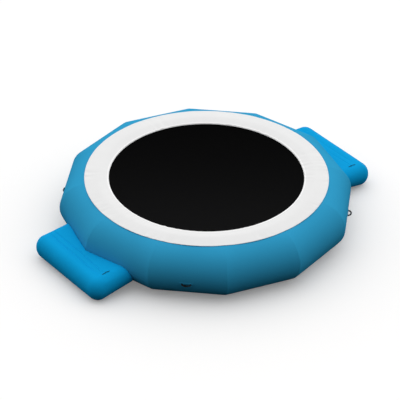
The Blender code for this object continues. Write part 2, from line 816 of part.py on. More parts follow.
def platform_shape(name, side, shrink):
    """The rounded cushion, as stacked plans joined by faces, in its leaning place."""
    bm = bmesh.new()
    rings = []
    for level in range(PLATFORM_LEVELS + 1):
        inset, height = platform_level(level, shrink)
        points = platform_outline(inset)
        rings.append([bm.verts.new((side * x, y, height)) for x, y in points])
    for lower, upper in zip(rings, rings[1:]):
        count = len(lower)
        for index in range(count):
            after = (index + 1) % count
            bm.faces.new((lower[index], lower[after], upper[after], upper[index]))
    bm.faces.new(rings[0])
    bm.faces.new(rings[-1])
    obj = object_from_bmesh(name, bm)
    obj.matrix_world = platform_seat(side)
    return obj


def channel_cutter(name, side, wall):
    """A long round bar that presses a channel into the top, beside the ring."""
    radius = (CHANNEL_WIDTH ** 2 / 4 + CHANNEL_DEPTH ** 2) / (2 * CHANNEL_DEPTH)
    bm = bmesh.new()
    bmesh.ops.create_cone(bm, cap_ends=True, segments=CHANNEL_STEPS, radius1=radius + wall,
                          radius2=radius + wall, depth=PLATFORM_LENGTH)
    cutter = object_from_bmesh(name, bm)
    height = PLATFORM_HEIGHT + radius - CHANNEL_DEPTH
    place = Vector((side * (PLATFORM_OUTER - CHANNEL_FROM_OUTER), 0.0, height))
    turn = Matrix.Rotation(HALF_TURN / 2, 4, "X")
    cutter.matrix_world = platform_seat(side) @ Matrix.Translation(place) @ turn
    return cutter


def floor_cutter(name, side, wall):
    """A slab under the floor, which presses the settled roll flat."""
    slab = new_box(name, PLATFORM_DEPTH + PLATFORM_TUCK, PLATFORM_LENGTH, PLATFORM_HEIGHT)
    across = side * (PLATFORM_OUTER + PLATFORM_INNER) / 2
    slab.matrix_world = Matrix.Translation((across, 0.0, wall - PLATFORM_HEIGHT / 2))
    return slab


def ring_cutter(name, distance):
    return turned(name, ring_profile(offset_radius(distance)), RING_LENGTHS, closed=True)


def platform_valve_place(side):
    """The valve's seat, on the facet above the fullest level of the end that faces +Y."""
    low_inset, low_height = platform_level(PLATFORM_VALVE_LEVEL - 1)
    high_inset, high_height = platform_level(PLATFORM_VALVE_LEVEL)
    tilt = math.atan2(high_inset - low_inset, high_height - low_height)
    across = side * (PLATFORM_OUTER + PLATFORM_INNER) / 2
    place = Vector((across, PLATFORM_LENGTH / 2 - (low_inset + high_inset) / 2,
                    (low_height + high_height) / 2))
    outward = Vector((0.0, math.cos(tilt), math.sin(tilt)))
    along = Vector((-1.0, 0.0, 0.0))
    matrix = Matrix((along, outward.cross(along), outward)).transposed().to_4x4()
    matrix.translation = place
    return platform_seat(side) @ matrix


def make_platform(side):
    """The platform on the +X or the -X side, hollow inside its skin."""
    word = "right" if side > 0 else "left"
    body = platform_shape(f"platform_{word}", side, 0.0)
    hollow = platform_shape(f"{word}_hollow_cutter", side, PLATFORM_WALL)
    cut(hollow, ring_cutter(f"{word}_inner_ring_cutter", PLATFORM_GAP + PLATFORM_WALL))
    cut(hollow, channel_cutter(f"{word}_inner_channel_cutter", side, PLATFORM_WALL))
    cut(hollow, floor_cutter(f"{word}_inner_floor_cutter", side, PLATFORM_WALL))
    cut(body, ring_cutter(f"{word}_ring_cutter", PLATFORM_GAP))
    cut(body, channel_cutter(f"{word}_channel_cutter", side, 0.0))
    cut(body, floor_cutter(f"{word}_floor_cutter", side, 0.0))
    cut(body, hollow)
    make_valve(f"{word}_valve", platform_valve_place(side), body, PLATFORM_WALL)
    finish_part(body, BRIGHT_BLUE, 0.4)


def make_hinge_flaps():
    """Curved flaps of skin between a platform and each ring length it leans on."""
    outline = []
    for distance in (SEAT_GAP, SEAT_GAP + FLAP_THICKNESS):
        radius = offset_radius(distance)
        line = [section_point(radius, -HALF_FACET - index * FACET_ANGLE)
                for index in range(FLAP_FACETS + 1)]
        outline.append(line)
    outline = outline[0] + outline[1][::-1]
    flap = None
    for word, faces in (("right", (0, 11)), ("left", (5, 6))):
        for index, face in enumerate(faces):
            name = f"{word}_hinge_flap_{index + 1}"
            side = -1 if face in (0, 6) else 1
            slide = Matrix.Translation((0.0, side * FLAP_FROM_MIDDLE, 0.0))
            place = turn_about_z(HALF_LENGTH_ANGLE + face * LENGTH_ANGLE) @ slide
            if flap is None:
                flap = strip(name, outline, FLAP_LENGTH, place)
                finish_part(flap, BLUE, 0.5)
            else:
                copy_of(flap, name, place)


def make_grab_handles():
    """Webbing handles, each arched between two feet on a platform's top near its end."""
    line = [(-HANDLE_SPAN / 2 - HANDLE_FOOT, SEAT_GAP)]
    for step in range(HANDLE_ARCH_STEPS + 1):
        share = step / HANDLE_ARCH_STEPS
        rise = HANDLE_RISE * math.sin(HALF_TURN * share) ** 0.7
        line.append((HANDLE_SPAN * (share - 0.5), SEAT_GAP + rise))
    line.append((HANDLE_SPAN / 2 + HANDLE_FOOT, SEAT_GAP))
    outline = line + [(across, height + HANDLE_STRAP) for across, height in line[::-1]]
    along = HANDLE_FROM_END - PLATFORM_LENGTH / 2
    for word, side, distance in (("right", 1, RIGHT_HANDLE_FROM_OUTER),
                                 ("left", -1, LEFT_HANDLE_FROM_OUTER)):
        across = side * (PLATFORM_OUTER - distance)
        place = Matrix.Translation((across, along, PLATFORM_HEIGHT))
        handle = strip(f"{word}_grab_handle", outline, HANDLE_WIDTH, platform_seat(side) @ place)
        finish_part(handle, BLACK, 0.7)


def patch_outline():
    """A long plate with round ends."""
    radius = LOOP_PATCH_HEIGHT / 2
    centre = LOOP_PATCH_WIDTH / 2 - radius
    points = []
    for side in (1, -1):
        for step in range(LOOP_PATCH_STEPS + 1):
            angle = HALF_TURN * (step / LOOP_PATCH_STEPS - 0.5)
            points.append((side * (centre + radius * math.cos(angle)),
                           side * radius * math.sin(angle)))
    return points


def make_anchor_loops():
    """Moulded half rings on a patch, at the middles of four lengths of the ring."""
    tilt = LOOP_FACET * FACET_ANGLE
    reach, height = section_point(TUBE_HEIGHT, tilt)
    reach -= LOOP_LIFT * math.sin(tilt)
    height += LOOP_LIFT * math.cos(tilt)
    wide = (LOOP_SPAN - LOOP_THICKNESS) / 2
    deep = LOOP_REACH - LOOP_THICKNESS / 2
    points = []
    for step in range(LOOP_STEPS + 1):
        angle = HALF_TURN * step / LOOP_STEPS
        points.append((wide * math.cos(angle), deep * math.sin(angle), 0.0))
    sunk = SEAT_GAP + LOOP_PATCH_THICKNESS / 2
    points[0] = (wide, sunk, 0.0)
    points[-1] = (-wide, sunk, 0.0)
    level = Matrix.Rotation(HALF_TURN / 2 + tilt, 4, "X")
    first = LOOP_FACES[0]
    patch = plate("anchor_loop_1", patch_outline(), LOOP_PATCH_THICKNESS)
    seat = Matrix.Translation((0.0, 0.0, SEAT_GAP + LOOP_PATCH_THICKNESS / 2))
    patch.matrix_world = face_matrix(first, reach, height, tilt) @ seat
    loop = bar_along("loop_cutter", points, LOOP_THICKNESS / 2, 2)
    loop.matrix_world = face_matrix(first, reach, height, tilt) @ level
    cut(patch, loop, "UNION")
    bpy.context.view_layer.update()
    patch = finish_part(settled(patch), BLACK, 0.6)
    for index, face in enumerate(LOOP_FACES[1:]):
        turn = turn_about_z((face - first) * LENGTH_ANGLE)
        copy_of(patch, f"anchor_loop_{index + 2}", turn @ patch.matrix_world)


make_main_tube()
make_frame()
make_sleeves()
make_mat()
make_spring_sets()
make_frame_straps()
make_pad()
make_platform(1)
make_platform(-1)
make_hinge_flaps()
make_grab_handles()
make_anchor_loops()
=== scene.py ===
import math

import bmesh
import bpy
from mathutils import Matrix, Vector, noise
from mathutils.bvhtree import BVHTree


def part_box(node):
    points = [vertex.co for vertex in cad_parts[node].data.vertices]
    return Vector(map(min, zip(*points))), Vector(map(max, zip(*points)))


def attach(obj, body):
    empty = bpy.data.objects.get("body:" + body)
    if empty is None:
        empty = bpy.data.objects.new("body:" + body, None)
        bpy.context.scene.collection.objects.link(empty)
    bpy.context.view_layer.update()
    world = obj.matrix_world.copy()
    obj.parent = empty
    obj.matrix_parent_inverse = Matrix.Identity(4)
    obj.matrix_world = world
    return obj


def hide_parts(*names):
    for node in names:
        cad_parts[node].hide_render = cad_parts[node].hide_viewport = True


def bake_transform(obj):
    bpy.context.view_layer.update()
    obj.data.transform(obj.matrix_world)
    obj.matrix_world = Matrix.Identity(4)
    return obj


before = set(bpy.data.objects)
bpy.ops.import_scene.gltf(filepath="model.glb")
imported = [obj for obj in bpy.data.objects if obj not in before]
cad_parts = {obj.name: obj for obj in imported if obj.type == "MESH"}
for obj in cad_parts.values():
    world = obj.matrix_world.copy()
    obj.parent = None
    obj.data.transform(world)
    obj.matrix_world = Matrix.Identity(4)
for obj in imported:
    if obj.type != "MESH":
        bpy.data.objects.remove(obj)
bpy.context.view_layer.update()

PI = math.pi

# Sizes in metres, most of them the same as the source's
HALF_FLATS = 2.44
TUBE_RADIUS = 0.455
TUBE_FACETS = 32
FACET_ANGLE = 2 * PI / TUBE_FACETS
SKIN_RADIUS = TUBE_RADIUS * math.cos(FACET_ANGLE / 2)
TUBE_REACH = HALF_FLATS - TUBE_RADIUS
TUBE_HEIGHT = SKIN_RADIUS
TUBE_CROWN = 2 * SKIN_RADIUS
RING_LENGTHS = 12
LENGTH_ANGLE = 2 * PI / RING_LENGTHS
HALF_LENGTH_ANGLE = LENGTH_ANGLE / 2
CORNER_RADIUS = (TUBE_REACH + SKIN_RADIUS) / math.cos(HALF_LENGTH_ANGLE)
MAT_RADIUS = 1.66
MAT_THICKNESS = 0.003
HEM_WIDTH = 0.016
VEE_REACH = 0.024
VEE_WIDTH = 0.036
VEE_WIRE = 0.0044
SPRING_SPAN = 0.125
SPRING_DIAMETER = 0.016
HEM_CLEARANCE = 0.0003
HEM_OUTER = MAT_RADIUS + HEM_CLEARANCE + HEM_WIDTH
VEE_TIP = HEM_OUTER + VEE_REACH
SPRING_END = VEE_TIP + SPRING_SPAN
FRAME_TUBE = 0.038
FRAME_REACH = SPRING_END + FRAME_TUBE / 2
FRAME_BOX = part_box("frame_section_1")
FRAME_HEIGHT = (FRAME_BOX[0][2] + FRAME_BOX[1][2]) / 2
MAT_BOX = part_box("jump_mat")
MAT_TOP = MAT_BOX[1][2]
MAT_HEIGHT = MAT_TOP - MAT_THICKNESS / 2
PAD_CLEARANCE = 0.007
PAD_INNER = MAT_RADIUS + PAD_CLEARANCE
PAD_OUTER = 2.0810
PAD_WIDTH = PAD_OUTER - PAD_INNER
PLATFORM_BEYOND = 0.478
PLATFORM_WITHIN = 0.46
PLATFORM_OUTER = CORNER_RADIUS + PLATFORM_BEYOND
PLATFORM_INNER = CORNER_RADIUS - PLATFORM_WITHIN
PLATFORM_HALF = 0.917
PLATFORM_HEIGHT = 0.427
PLATFORM_ROLL = 0.188
PLATFORM_END_ROLL = 0.190
PLATFORM_CORNER = 0.200
PLATFORM_TOP_SLOPE = 0.050
PLATFORM_BOTTOM_SLOPE = 0.180
PLATFORM_GAP = 0.0036
SHARP_ANGLE = math.radians(40)


# Small helpers

def mesh_object(name, verts, faces, smooth=True):
    mesh = bpy.data.meshes.new(name)
    mesh.from_pydata([tuple(v) for v in verts], [], faces)
    mesh.update()
    if smooth:
        mesh.shade_smooth()
    obj = bpy.data.objects.new(name, mesh)
    bpy.context.scene.collection.objects.link(obj)
    return obj


def grid_faces(rows, columns, close_rows=False, close_columns=False):
    faces = []
    for row in range(rows if close_rows else rows - 1):
        for column in range(columns if close_columns else columns - 1):
            after_row = (row + 1) % rows
            after_column = (column + 1) % columns
            faces.append((row * columns + column, after_row * columns + column,
                          after_row * columns + after_column, row * columns + after_column))
    return faces


def capped_faces(rows, columns):
    """The faces between closed loops in a row, with a cap on the first and on the last."""
    faces = grid_faces(rows, columns, close_columns=True)
    last = (rows - 1) * columns
    return faces + [tuple(range(columns)), tuple(range(last, last + columns))]


def set_uv(obj, coordinates):
    """One UV pair in metres for each vertex."""
    layer = obj.data.uv_layers.new(name="metres")
    for loop in obj.data.loops:
        layer.data[loop.index].uv = coordinates[loop.vertex_index]


def closed_object(name, verts, faces, uv=None, sharp=False, smooth=True):
    """An object whose faces look outwards, with UVs and sharp edges where they are asked."""
    obj = mesh_object(name, verts, faces, smooth)
    if uv is not None:
        set_uv(obj, uv)
    bm = bmesh.new()
    bm.from_mesh(obj.data)
    bmesh.ops.recalc_face_normals(bm, faces=bm.faces)
    bm.to_mesh(obj.data)
    bm.free()
    if sharp:
        obj.data.set_sharp_from_angle(angle=SHARP_ANGLE)
    return obj


def tube_along(name, points, radius, sides, cyclic=False):
    """A round tube along a list of points, with closed ends."""
    count = len(points)
    verts, frames = [], []
    last = None
    for index, point in enumerate(points):
        before = points[(index - 1) % count] if cyclic or index else point
        after = points[(index + 1) % count] if cyclic or index < count - 1 else point
        tangent = (Vector(after) - Vector(before)).normalized()
        if last is None:
            side = tangent.orthogonal().normalized()
        else:
            side = (last - tangent * last.dot(tangent)).normalized()
        last = side
        frames.append((Vector(point), side, tangent.cross(side)))
    for centre, side, up in frames:
        for step in range(sides):
            angle = 2 * PI * step / sides
            verts.append(centre + radius * (math.cos(angle) * side + math.sin(angle) * up))
    if cyclic:
        faces = grid_faces(count, sides, close_rows=True, close_columns=True)
    else:
        faces = capped_faces(count, sides)
    return closed_object(name, verts, faces)


def turn_z(angle):
    return Matrix.Rotation(angle, 4, "Z")


def around(radius, angle, height):
    return radius * math.cos(angle), radius * math.sin(angle), height


def smooth_step(low, high, value):
    share = min(1.0, max(0.0, (value - low) / (high - low)))
    return share * share * (3 - 2 * share)


def unevenness(scales, *place):
    """Smooth noise at a place, each of whose parts has its own scale."""
    return noise.noise(Vector([scale * part for scale, part in zip(scales, place)]))


def dress(obj, *materials):
    obj.data.materials.clear()
    for material in materials:
        obj.data.materials.append(material)


# Materials

def new_material(name, colour, roughness, metallic=0.0, specular=0.5):
    """A plain material, with its tree, its shader and the coordinates of a place on it."""
    material = bpy.data.materials.new(name)
    material.use_nodes = True
    shader = material.node_tree.nodes["Principled BSDF"]
    shader.inputs["Base Color"].default_value = (*colour, 1.0)
    shader.inputs["Roughness"].default_value = roughness
    shader.inputs["Metallic"].default_value = metallic
    shader.inputs["Specular IOR Level"].default_value = specular
    place = material.node_tree.nodes.new("ShaderNodeTexCoord")
    return material, material.node_tree, shader, place.outputs


def node(tree, kind, **settings):
    new = tree.nodes.new(kind)
    for key, value in settings.items():
        if key in new.inputs:
            new.inputs[key].default_value = value
        else:
            setattr(new, key, value)
    return new


def colour_range(tree, factor, low, high):
    """A ramp from one colour to another, driven by the middle of a 0 to 1 output."""
    ramp = tree.nodes.new("ShaderNodeValToRGB")
    ramp.color_ramp.elements[0].position = 0.3
    ramp.color_ramp.elements[1].position = 0.7
    ramp.color_ramp.elements[0].color = (*low, 1.0)
    ramp.color_ramp.elements[1].color = (*high, 1.0)
    tree.links.new(factor, ramp.inputs["Fac"])
    return ramp.outputs["Color"]


def number_range(tree, factor, given, wanted, kind="LINEAR"):
    """A number carried from a given range to a wanted one."""
    span = node(tree, "ShaderNodeMapRange", interpolation_type=kind)
    ends = zip(("From Min", "From Max", "To Min", "To Max"), (*given, *wanted))
    for name, end in ends:
        span.inputs[name].default_value = end
    tree.links.new(factor, span.inputs["Value"])
    return span.outputs["Result"]


def along_direction(tree, place, direction):
    """How far a place lies along a direction."""
    product = node(tree, "ShaderNodeVectorMath", operation="DOT_PRODUCT")
    product.inputs[1].default_value = direction
    tree.links.new(place, product.inputs[0])
    return product.outputs["Value"]


def shade(colour, factor):
    return tuple(channel * factor for channel in colour)


def clouds(tree, vector, scale, detail):
    """A cloudy 0 to 1 output."""
    cloud = node(tree, "ShaderNodeTexNoise", Scale=scale, Detail=detail)
    tree.links.new(vector, cloud.inputs["Vector"])
    return cloud.outputs["Fac"]


def mottle(tree, shader, factor, colour, low, high):
    """A base colour that goes from a low to a high share of itself."""
    tree.links.new(colour_range(tree, factor, shade(colour, low), shade(colour, high)),
                   shader.inputs["Base Color"])


def uneven_gloss(tree, shader, factor, roughness, sway):
    gloss = number_range(tree, factor, (0.0, 1.0), (roughness - sway, roughness + sway))
    tree.links.new(gloss, shader.inputs["Roughness"])


def relief(tree, height, strength, distance, under=None):
    """A bump from a height, laid over an earlier one where there is one."""
    bump = node(tree, "ShaderNodeBump", Strength=strength, Distance=distance)
    tree.links.new(height, bump.inputs["Height"])
    if under is not None:
        tree.links.new(under, bump.inputs["Normal"])
    return bump.outputs["Normal"]


def woven_height(tree, vector, pitch):
    """A plain weave's height: two crossed rows of threads, from a coordinate in metres."""
    rows = []
    for direction in ("X", "Y"):
        band = node(tree, "ShaderNodeTexWave", wave_type="BANDS", bands_direction=direction,
                    wave_profile="SIN", Scale=2 * PI / pitch / 20)
        tree.links.new(vector, band.inputs["Vector"])
        rows.append(band.outputs["Fac"])
    both = node(tree, "ShaderNodeMath", operation="MULTIPLY")
    tree.links.new(rows[0], both.inputs[0])
    tree.links.new(rows[1], both.inputs[1])
    return both.outputs["Value"]


def coated_fabric(name, colour, roughness=0.6, specular=0.0):
    """Coated tarpaulin: faint cloudy colour, a fine scrim under the coating, soft gloss."""
    material, tree, shader, place = new_material(name, colour, roughness, specular=specular)
    spread = 0.02
    cloud = clouds(tree, place["Object"], scale=1.7, detail=4.0)
    mottle(tree, shader, cloud, colour, 1 - spread, 1 + spread)
    smudge = clouds(tree, place["Object"], scale=9.0, detail=5.0)
    uneven_gloss(tree, shader, smudge, roughness, sway=0.06)
    weave = woven_height(tree, place["UV"], pitch=0.0022)
    fine = relief(tree, weave, strength=0.35, distance=0.00006)
    wave = clouds(tree, place["Object"], scale=5.0, detail=2.0)
    broad = relief(tree, wave, strength=0.25, distance=0.004, under=fine)
    tree.links.new(broad, shader.inputs["Normal"])
    return material


def plain_material(name, colour, roughness, metallic=0.0, specular=0.5, spread=0.1):
    """Moulded or metal surface with faint mottling, uneven gloss and a fine grain."""
    material, tree, shader, place = new_material(name, colour, roughness, metallic, specular)
    cloud = clouds(tree, place["Object"], scale=30.0, detail=4.0)
    mottle(tree, shader, cloud, colour, 1 - spread, 1 + spread)
    uneven_gloss(tree, shader, cloud, roughness, sway=0.08)
    grain = clouds(tree, place["Object"], scale=420.0, detail=2.0)
    fine = relief(tree, grain, strength=0.3, distance=0.0001)
    tree.links.new(fine, shader.inputs["Normal"])
    return material


def webbing_material(name, colour):
    """Ribbed woven webbing, whose colour is darker in the weave's hollows and paler on its
    threads: painted shade.
    """
    material, tree, shader, place = new_material(name, colour, roughness=0.75, specular=0.06)
    height = woven_height(tree, place["UV"], pitch=0.0016)
    # Painted shade: the weave's hollows darker and its raised threads paler
    mottle(tree, shader, height, colour, 0.6, 1.5)
    ribs = relief(tree, height, strength=0.6, distance=0.0003)
    tree.links.new(ribs, shader.inputs["Normal"])
    return material


def pad_vinyl_material(name, colour):
    """Coated vinyl with a fine weave, faintly puckered across the pad."""
    material, tree, shader, place = new_material(name, colour, roughness=0.6, specular=0.03)
    cloud = clouds(tree, place["Object"], scale=2.5, detail=5.0)
    mottle(tree, shader, cloud, colour, 0.988, 1.008)
    weave = woven_height(tree, place["UV"], pitch=0.002)
    fine = relief(tree, weave, strength=0.3, distance=0.00008)
    stretch = node(tree, "ShaderNodeMapping", Scale=(11.0, 1.6, 1.0))
    tree.links.new(place["UV"], stretch.inputs["Vector"])
    pucker = clouds(tree, stretch.outputs["Vector"], scale=1.0, detail=3.0)
    broad = relief(tree, pucker, strength=0.3, distance=0.004, under=fine)
    tree.links.new(broad, shader.inputs["Normal"])
    return material


def painted_sheen_colour(tree, place):
    """The mat's black with a painted sheen: it grows evenly paler across the mat, towards the
    side the turn points to.
    """
    across = along_direction(tree, place, (math.cos(PAINTED_SHEEN_TURN), math.sin(PAINTED_SHEEN_TURN), 0.0))
    share = number_range(tree, across, (-MAT_RADIUS, MAT_RADIUS), (0.0, 1.0))
    sheen_ramp = tree.nodes.new("ShaderNodeValToRGB")
    sheen_ramp.color_ramp.interpolation = "B_SPLINE"
    sheen_ramp.color_ramp.elements.new(0.5)
    for stop, level in zip(sheen_ramp.color_ramp.elements, PAINTED_SHEEN_SHARES):
        stop.color = (*shade(MAT_BLACK, level), 1.0)
    tree.links.new(share, sheen_ramp.inputs["Fac"])
    return sheen_ramp.outputs["Color"]


def mat_mesh_material():
    """Woven mesh, whose threads are paler than the gaps between them: painted shade in the gaps.
    Its black grows paler towards one side: a painted sheen.
    """
    material, tree, shader, place = new_material("jump_mat_mesh", MAT_BLACK, 0.8, specular=0.012)
    weave = woven_height(tree, place["Object"], pitch=0.0035)
    # Gaps darker and threads paler by the weave's height: painted shade in its hollows
    gap, thread = (0.75,) * 3, (1.35,) * 3
    tint = node(tree, "ShaderNodeMix", data_type="RGBA", blend_type="MULTIPLY")
    tint.inputs["Factor"].default_value = 1.0
    # Painted sheen: the mat's black grows paler towards one side
    tree.links.new(painted_sheen_colour(tree, place["Object"]), tint.inputs["A"])
    tree.links.new(colour_range(tree, weave, gap, thread), tint.inputs["B"])
    tree.links.new(tint.outputs["Result"], shader.inputs["Base Color"])
    fine = relief(tree, weave, strength=0.4, distance=0.0004)
    tree.links.new(fine, shader.inputs["Normal"])
    return material


RING_BLUE = (0.032, 0.328, 0.572)
SEAM_BLUE = (0.032, 0.326, 0.568)
PLATFORM_BLUE = (0.0045, 0.344, 0.706)
PAD_WHITE = (0.81, 0.81, 0.81)
# A paler copy of the pad's white for its inner edge: a painted highlight
PAINTED_HIGHLIGHT_WHITE = (0.95, 0.95, 0.95)
MAT_BLACK = (0.0022, 0.0022, 0.0023)
BLACK = (0.005, 0.005, 0.0055)
STEEL = (0.55, 0.56, 0.57)
GREY = (0.16, 0.17, 0.18)
PLUNGER_GREY = (0.75, 0.76, 0.76)
WEBBING_BLACK = (0.007, 0.007, 0.0075)
# The mat's painted sheen: the side it grows paler towards, and its black's shares from the far
# side to that side
PAINTED_SHEEN_TURN = math.radians(232)
PAINTED_SHEEN_SHARES = (0.35, 1.15, 3.2)

ring_skin = coated_fabric("ring_tarpaulin", RING_BLUE)
seam_skin = coated_fabric("seam_tape", SEAM_BLUE, roughness=0.55)
platform_skin = coated_fabric("platform_tarpaulin", PLATFORM_BLUE, specular=0.004)
steel = plain_material("galvanised_steel", STEEL, roughness=0.38, metallic=1.0)
spring_steel = plain_material("zinc_spring_steel", STEEL, roughness=0.3, metallic=1.0)
rubber = plain_material("moulded_rubber", BLACK, roughness=0.6, specular=0.08, spread=0.25)
valve_plastic = plain_material("valve_plastic", GREY, roughness=0.45)
plunger_plastic = plain_material("plunger_plastic", PLUNGER_GREY, roughness=0.35)
webbing = webbing_material("black_webbing", WEBBING_BLACK)
pad_vinyl = pad_vinyl_material("pad_vinyl", PAD_WHITE)
# The pad vinyl in a paler white: a painted highlight along the pad's inner edge
highlight_vinyl = pad_vinyl_material("pad_binding_painted_highlight", PAINTED_HIGHLIGHT_WHITE)
mat_mesh = mat_mesh_material()


# Inflated ring

TAPE_HALF = 0.022
TAPE_RISE = 0.0004
TAPE_EDGE = 0.0015
SEAM_DISTANCES = (0.0, 0.0025, 0.006, 0.021, 0.0225, 0.040, 0.075, 0.13)
MIDDLE_STEPS = 8
SECTION_STEPS = 96

# What a seam does to the skin beside it: how much, and how far from the seam
GROOVE_DEPTH, GROOVE_WIDTH = 0.0010, 0.0035
PINCH_DEPTH, PINCH_WIDTH = 0.0018, 0.045
RIPPLE_HEIGHT, RIPPLE_WIDTH = 0.0011, 0.05
CREASE_HEIGHT, CREASE_WIDTH = 0.004, 0.09
RIPPLE_SCALES = (9, 9, 3.1)
CREASE_SCALES = (6, 14, 1.7)
SETTLED_HEIGHT = 0.03
SETTLED_POWER = 1.6


def skin_offset(distance, angle, seed):
    """How far the skin stands out from its plain radius, at a distance from a seam."""
    tape = TAPE_RISE * (1 - smooth_step(TAPE_HALF - TAPE_EDGE, TAPE_HALF, distance))
    groove = -GROOVE_DEPTH * math.exp(-(distance / GROOVE_WIDTH) ** 2)
    pinch = -PINCH_DEPTH * math.exp(-(distance / PINCH_WIDTH) ** 2)
    ripple = RIPPLE_HEIGHT * math.exp(-distance / RIPPLE_WIDTH)
    ripple *= unevenness(RIPPLE_SCALES, math.cos(angle), math.sin(angle), seed)
    inner = max(0.0, -math.cos(angle))
    crease = CREASE_HEIGHT * inner * math.exp(-distance / CREASE_WIDTH)
    crease *= unevenness(CREASE_SCALES, distance, angle, seed)
    return tape + groove + pinch + ripple + crease


def floor_press(height):
    """A height near the floor, where the underside settles flat."""
    if height < SETTLED_HEIGHT:
        return SETTLED_HEIGHT * (max(height, 0.0) / SETTLED_HEIGHT) ** SETTLED_POWER
    return height


def build_ring():
    """One skin, worked out in rows round its section: close together beside the seams."""
    verts, uv, rows = [], [], []
    length = TUBE_REACH * 2 * math.tan(HALF_LENGTH_ANGLE)
    stations = [(-1, distance) for distance in SEAM_DISTANCES]
    stations += [(0, step / MIDDLE_STEPS) for step in range(1, MIDDLE_STEPS)]
    stations += [(1, distance) for distance in SEAM_DISTANCES[:0:-1]]
    for face in range(RING_LENGTHS):
        turn = turn_z(HALF_LENGTH_ANGLE + face * LENGTH_ANGLE)
        for side, value in stations:
            for step in range(SECTION_STEPS):
                angle = 2 * PI * step / SECTION_STEPS
                reach = TUBE_REACH + SKIN_RADIUS * math.cos(angle)
                half = reach * math.tan(HALF_LENGTH_ANGLE)
                edge = half - SEAM_DISTANCES[-1]
                if side:
                    along = side * (half - value)
                    distance = value
                else:
                    along = -edge + 2 * edge * value
                    distance = half - abs(along)
                seed = face if along > 0 else face - 1
                radius = SKIN_RADIUS + skin_offset(distance, angle, seed % RING_LENGTHS)
                reach = TUBE_REACH + radius * math.cos(angle)
                height = floor_press(TUBE_HEIGHT + radius * math.sin(angle))
                stretch = reach * math.tan(HALF_LENGTH_ANGLE) / half
                verts.append(turn @ Vector((reach, along * stretch, height)))
                uv.append((face * length + along, angle * SKIN_RADIUS))
            rows.append((side, value))
    faces = grid_faces(len(rows), SECTION_STEPS, close_rows=True, close_columns=True)
    ring = closed_object("inflated_ring", verts, faces, uv)
    dress(ring, ring_skin, seam_skin)
    for index, polygon in enumerate(ring.data.polygons):
        row = index // SECTION_STEPS
        here, after = rows[row], rows[(row + 1) % len(rows)]
        taped = all(side and value <= TAPE_HALF for side, value in (here, after))
        polygon.material_index = 1 if taped else 0
    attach(ring, "ring")
    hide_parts(*[f"tube_length_{index + 1}" for index in range(RING_LENGTHS)])


# Safety pad

PAD_ANGULAR = 720
PAD_TOP_STEPS = 30
PAD_START = TUBE_CROWN + 0.0118
PAD_CREST = TUBE_CROWN + 0.0270
PAD_END = TUBE_CROWN + 0.0055
PAD_FALL_POWER = 1.12
PAD_LIP = 0.0062
LEAST_LIP = 0.006
LIP_ROUND = 0.004
LIP_TUCK = 0.001
PAD_ROLL = 0.014
ROLL_FOOT = 0.004
PIPING_RISE = 0.0038
# The inner band of the pad's top that takes the paler white of the painted highlight
HIGHLIGHT_BAND_WIDTH = 0.028
HIGHLIGHT_BAND_SHARE = HIGHLIGHT_BAND_WIDTH / PAD_WIDTH
OPENING_SHIFT = 0.0050
OPENING_TURN = math.radians(214)
UV_RADIUS = 1.87
UNDER_SHARES = (0.955, 0.85, 0.65, 0.55, 0.48, 0.39, 0.30, 0.12, 0.05, 0.015)

# How far the pad's underside stays above what it covers, and where it comes down on the ring
OVER_MAT = 0.0012
OVER_HEM = 0.0032
OVER_COIL_START = 0.0102
OVER_COIL_END = 0.0098
OVER_FRAME = 0.0068
OVER_RING = 0.0036
COIL_MARGIN = 0.014
FRAME_MARGIN = 0.023
RING_MEETS = 0.05
RING_REACHED = 0.093
UNDER_CROWN = 0.03

# The pad's puckers, its broad swells and the seams between its panels
PUCKER_CALM, PUCKER_GATHERED = 0.0020, 0.0110
PUCKER_REACH, EDGE_HELD = 0.11, 0.012
GATHERED_RANGE = (-0.10, 0.25)
GATHERED_SCALES = (3, 3, 5.2)
PUCKER_SCALES = (34, 1.6, 1.3)
SWELL_HEIGHT, SWELL_HELD = 0.0007, 0.05
SWELL_SCALES = (11, 1.6, 7.7)
PAD_PANELS = 12
PANEL_SEAM_DEPTH, PANEL_SEAM_WIDTH = 0.0008, 0.005


def ring_top(angle, radius):
    """The height of the smooth ring's top below a point of the pad."""
    within = (angle % LENGTH_ANGLE) - HALF_LENGTH_ANGLE
    across = radius * math.cos(within) - TUBE_REACH
    if abs(across) >= SKIN_RADIUS:
        return 0.0
    return TUBE_HEIGHT + math.sqrt(SKIN_RADIUS ** 2 - across ** 2)


def pad_opening(angle):
    """The radius of the pad's inner edge: the opening sits a few millimetres off the middle."""
    return PAD_INNER + OPENING_SHIFT * math.cos(angle - OPENING_TURN)


def pad_under(angle, radius):
    """The pad's underside: over the hem, the springs and the frame, then on the ring."""
    frame_top = FRAME_HEIGHT + FRAME_TUBE / 2 + OVER_FRAME
    over = (
        (pad_opening(angle), MAT_TOP + OVER_MAT),
        (HEM_OUTER, MAT_HEIGHT + OVER_HEM),
        (VEE_TIP + COIL_MARGIN, MAT_HEIGHT + OVER_COIL_START),
        (SPRING_END - COIL_MARGIN, FRAME_HEIGHT + OVER_COIL_END),
        (FRAME_REACH - FRAME_MARGIN, frame_top),
        (FRAME_REACH + FRAME_MARGIN, frame_top),
        (FRAME_REACH + RING_REACHED, TUBE_CROWN + OVER_RING),
        (PAD_OUTER, TUBE_CROWN - UNDER_CROWN),
    )
    height = over[-1][1]
    for (low, first), (high, last) in zip(over, over[1:]):
        if low <= radius <= high:
            height = first + (last - first) * (radius - low) / (high - low)
            break
    if radius > FRAME_REACH + RING_MEETS:
        height = max(height, ring_top(angle, radius) + OVER_RING)
    return height


def pad_lip(angle):
    """The heights of the outer lip's top and underside."""
    ground = ring_top(angle, PAD_OUTER) + OVER_RING
    top = max(PAD_END, ground + LEAST_LIP)
    return top, max(top - PAD_LIP, ground)


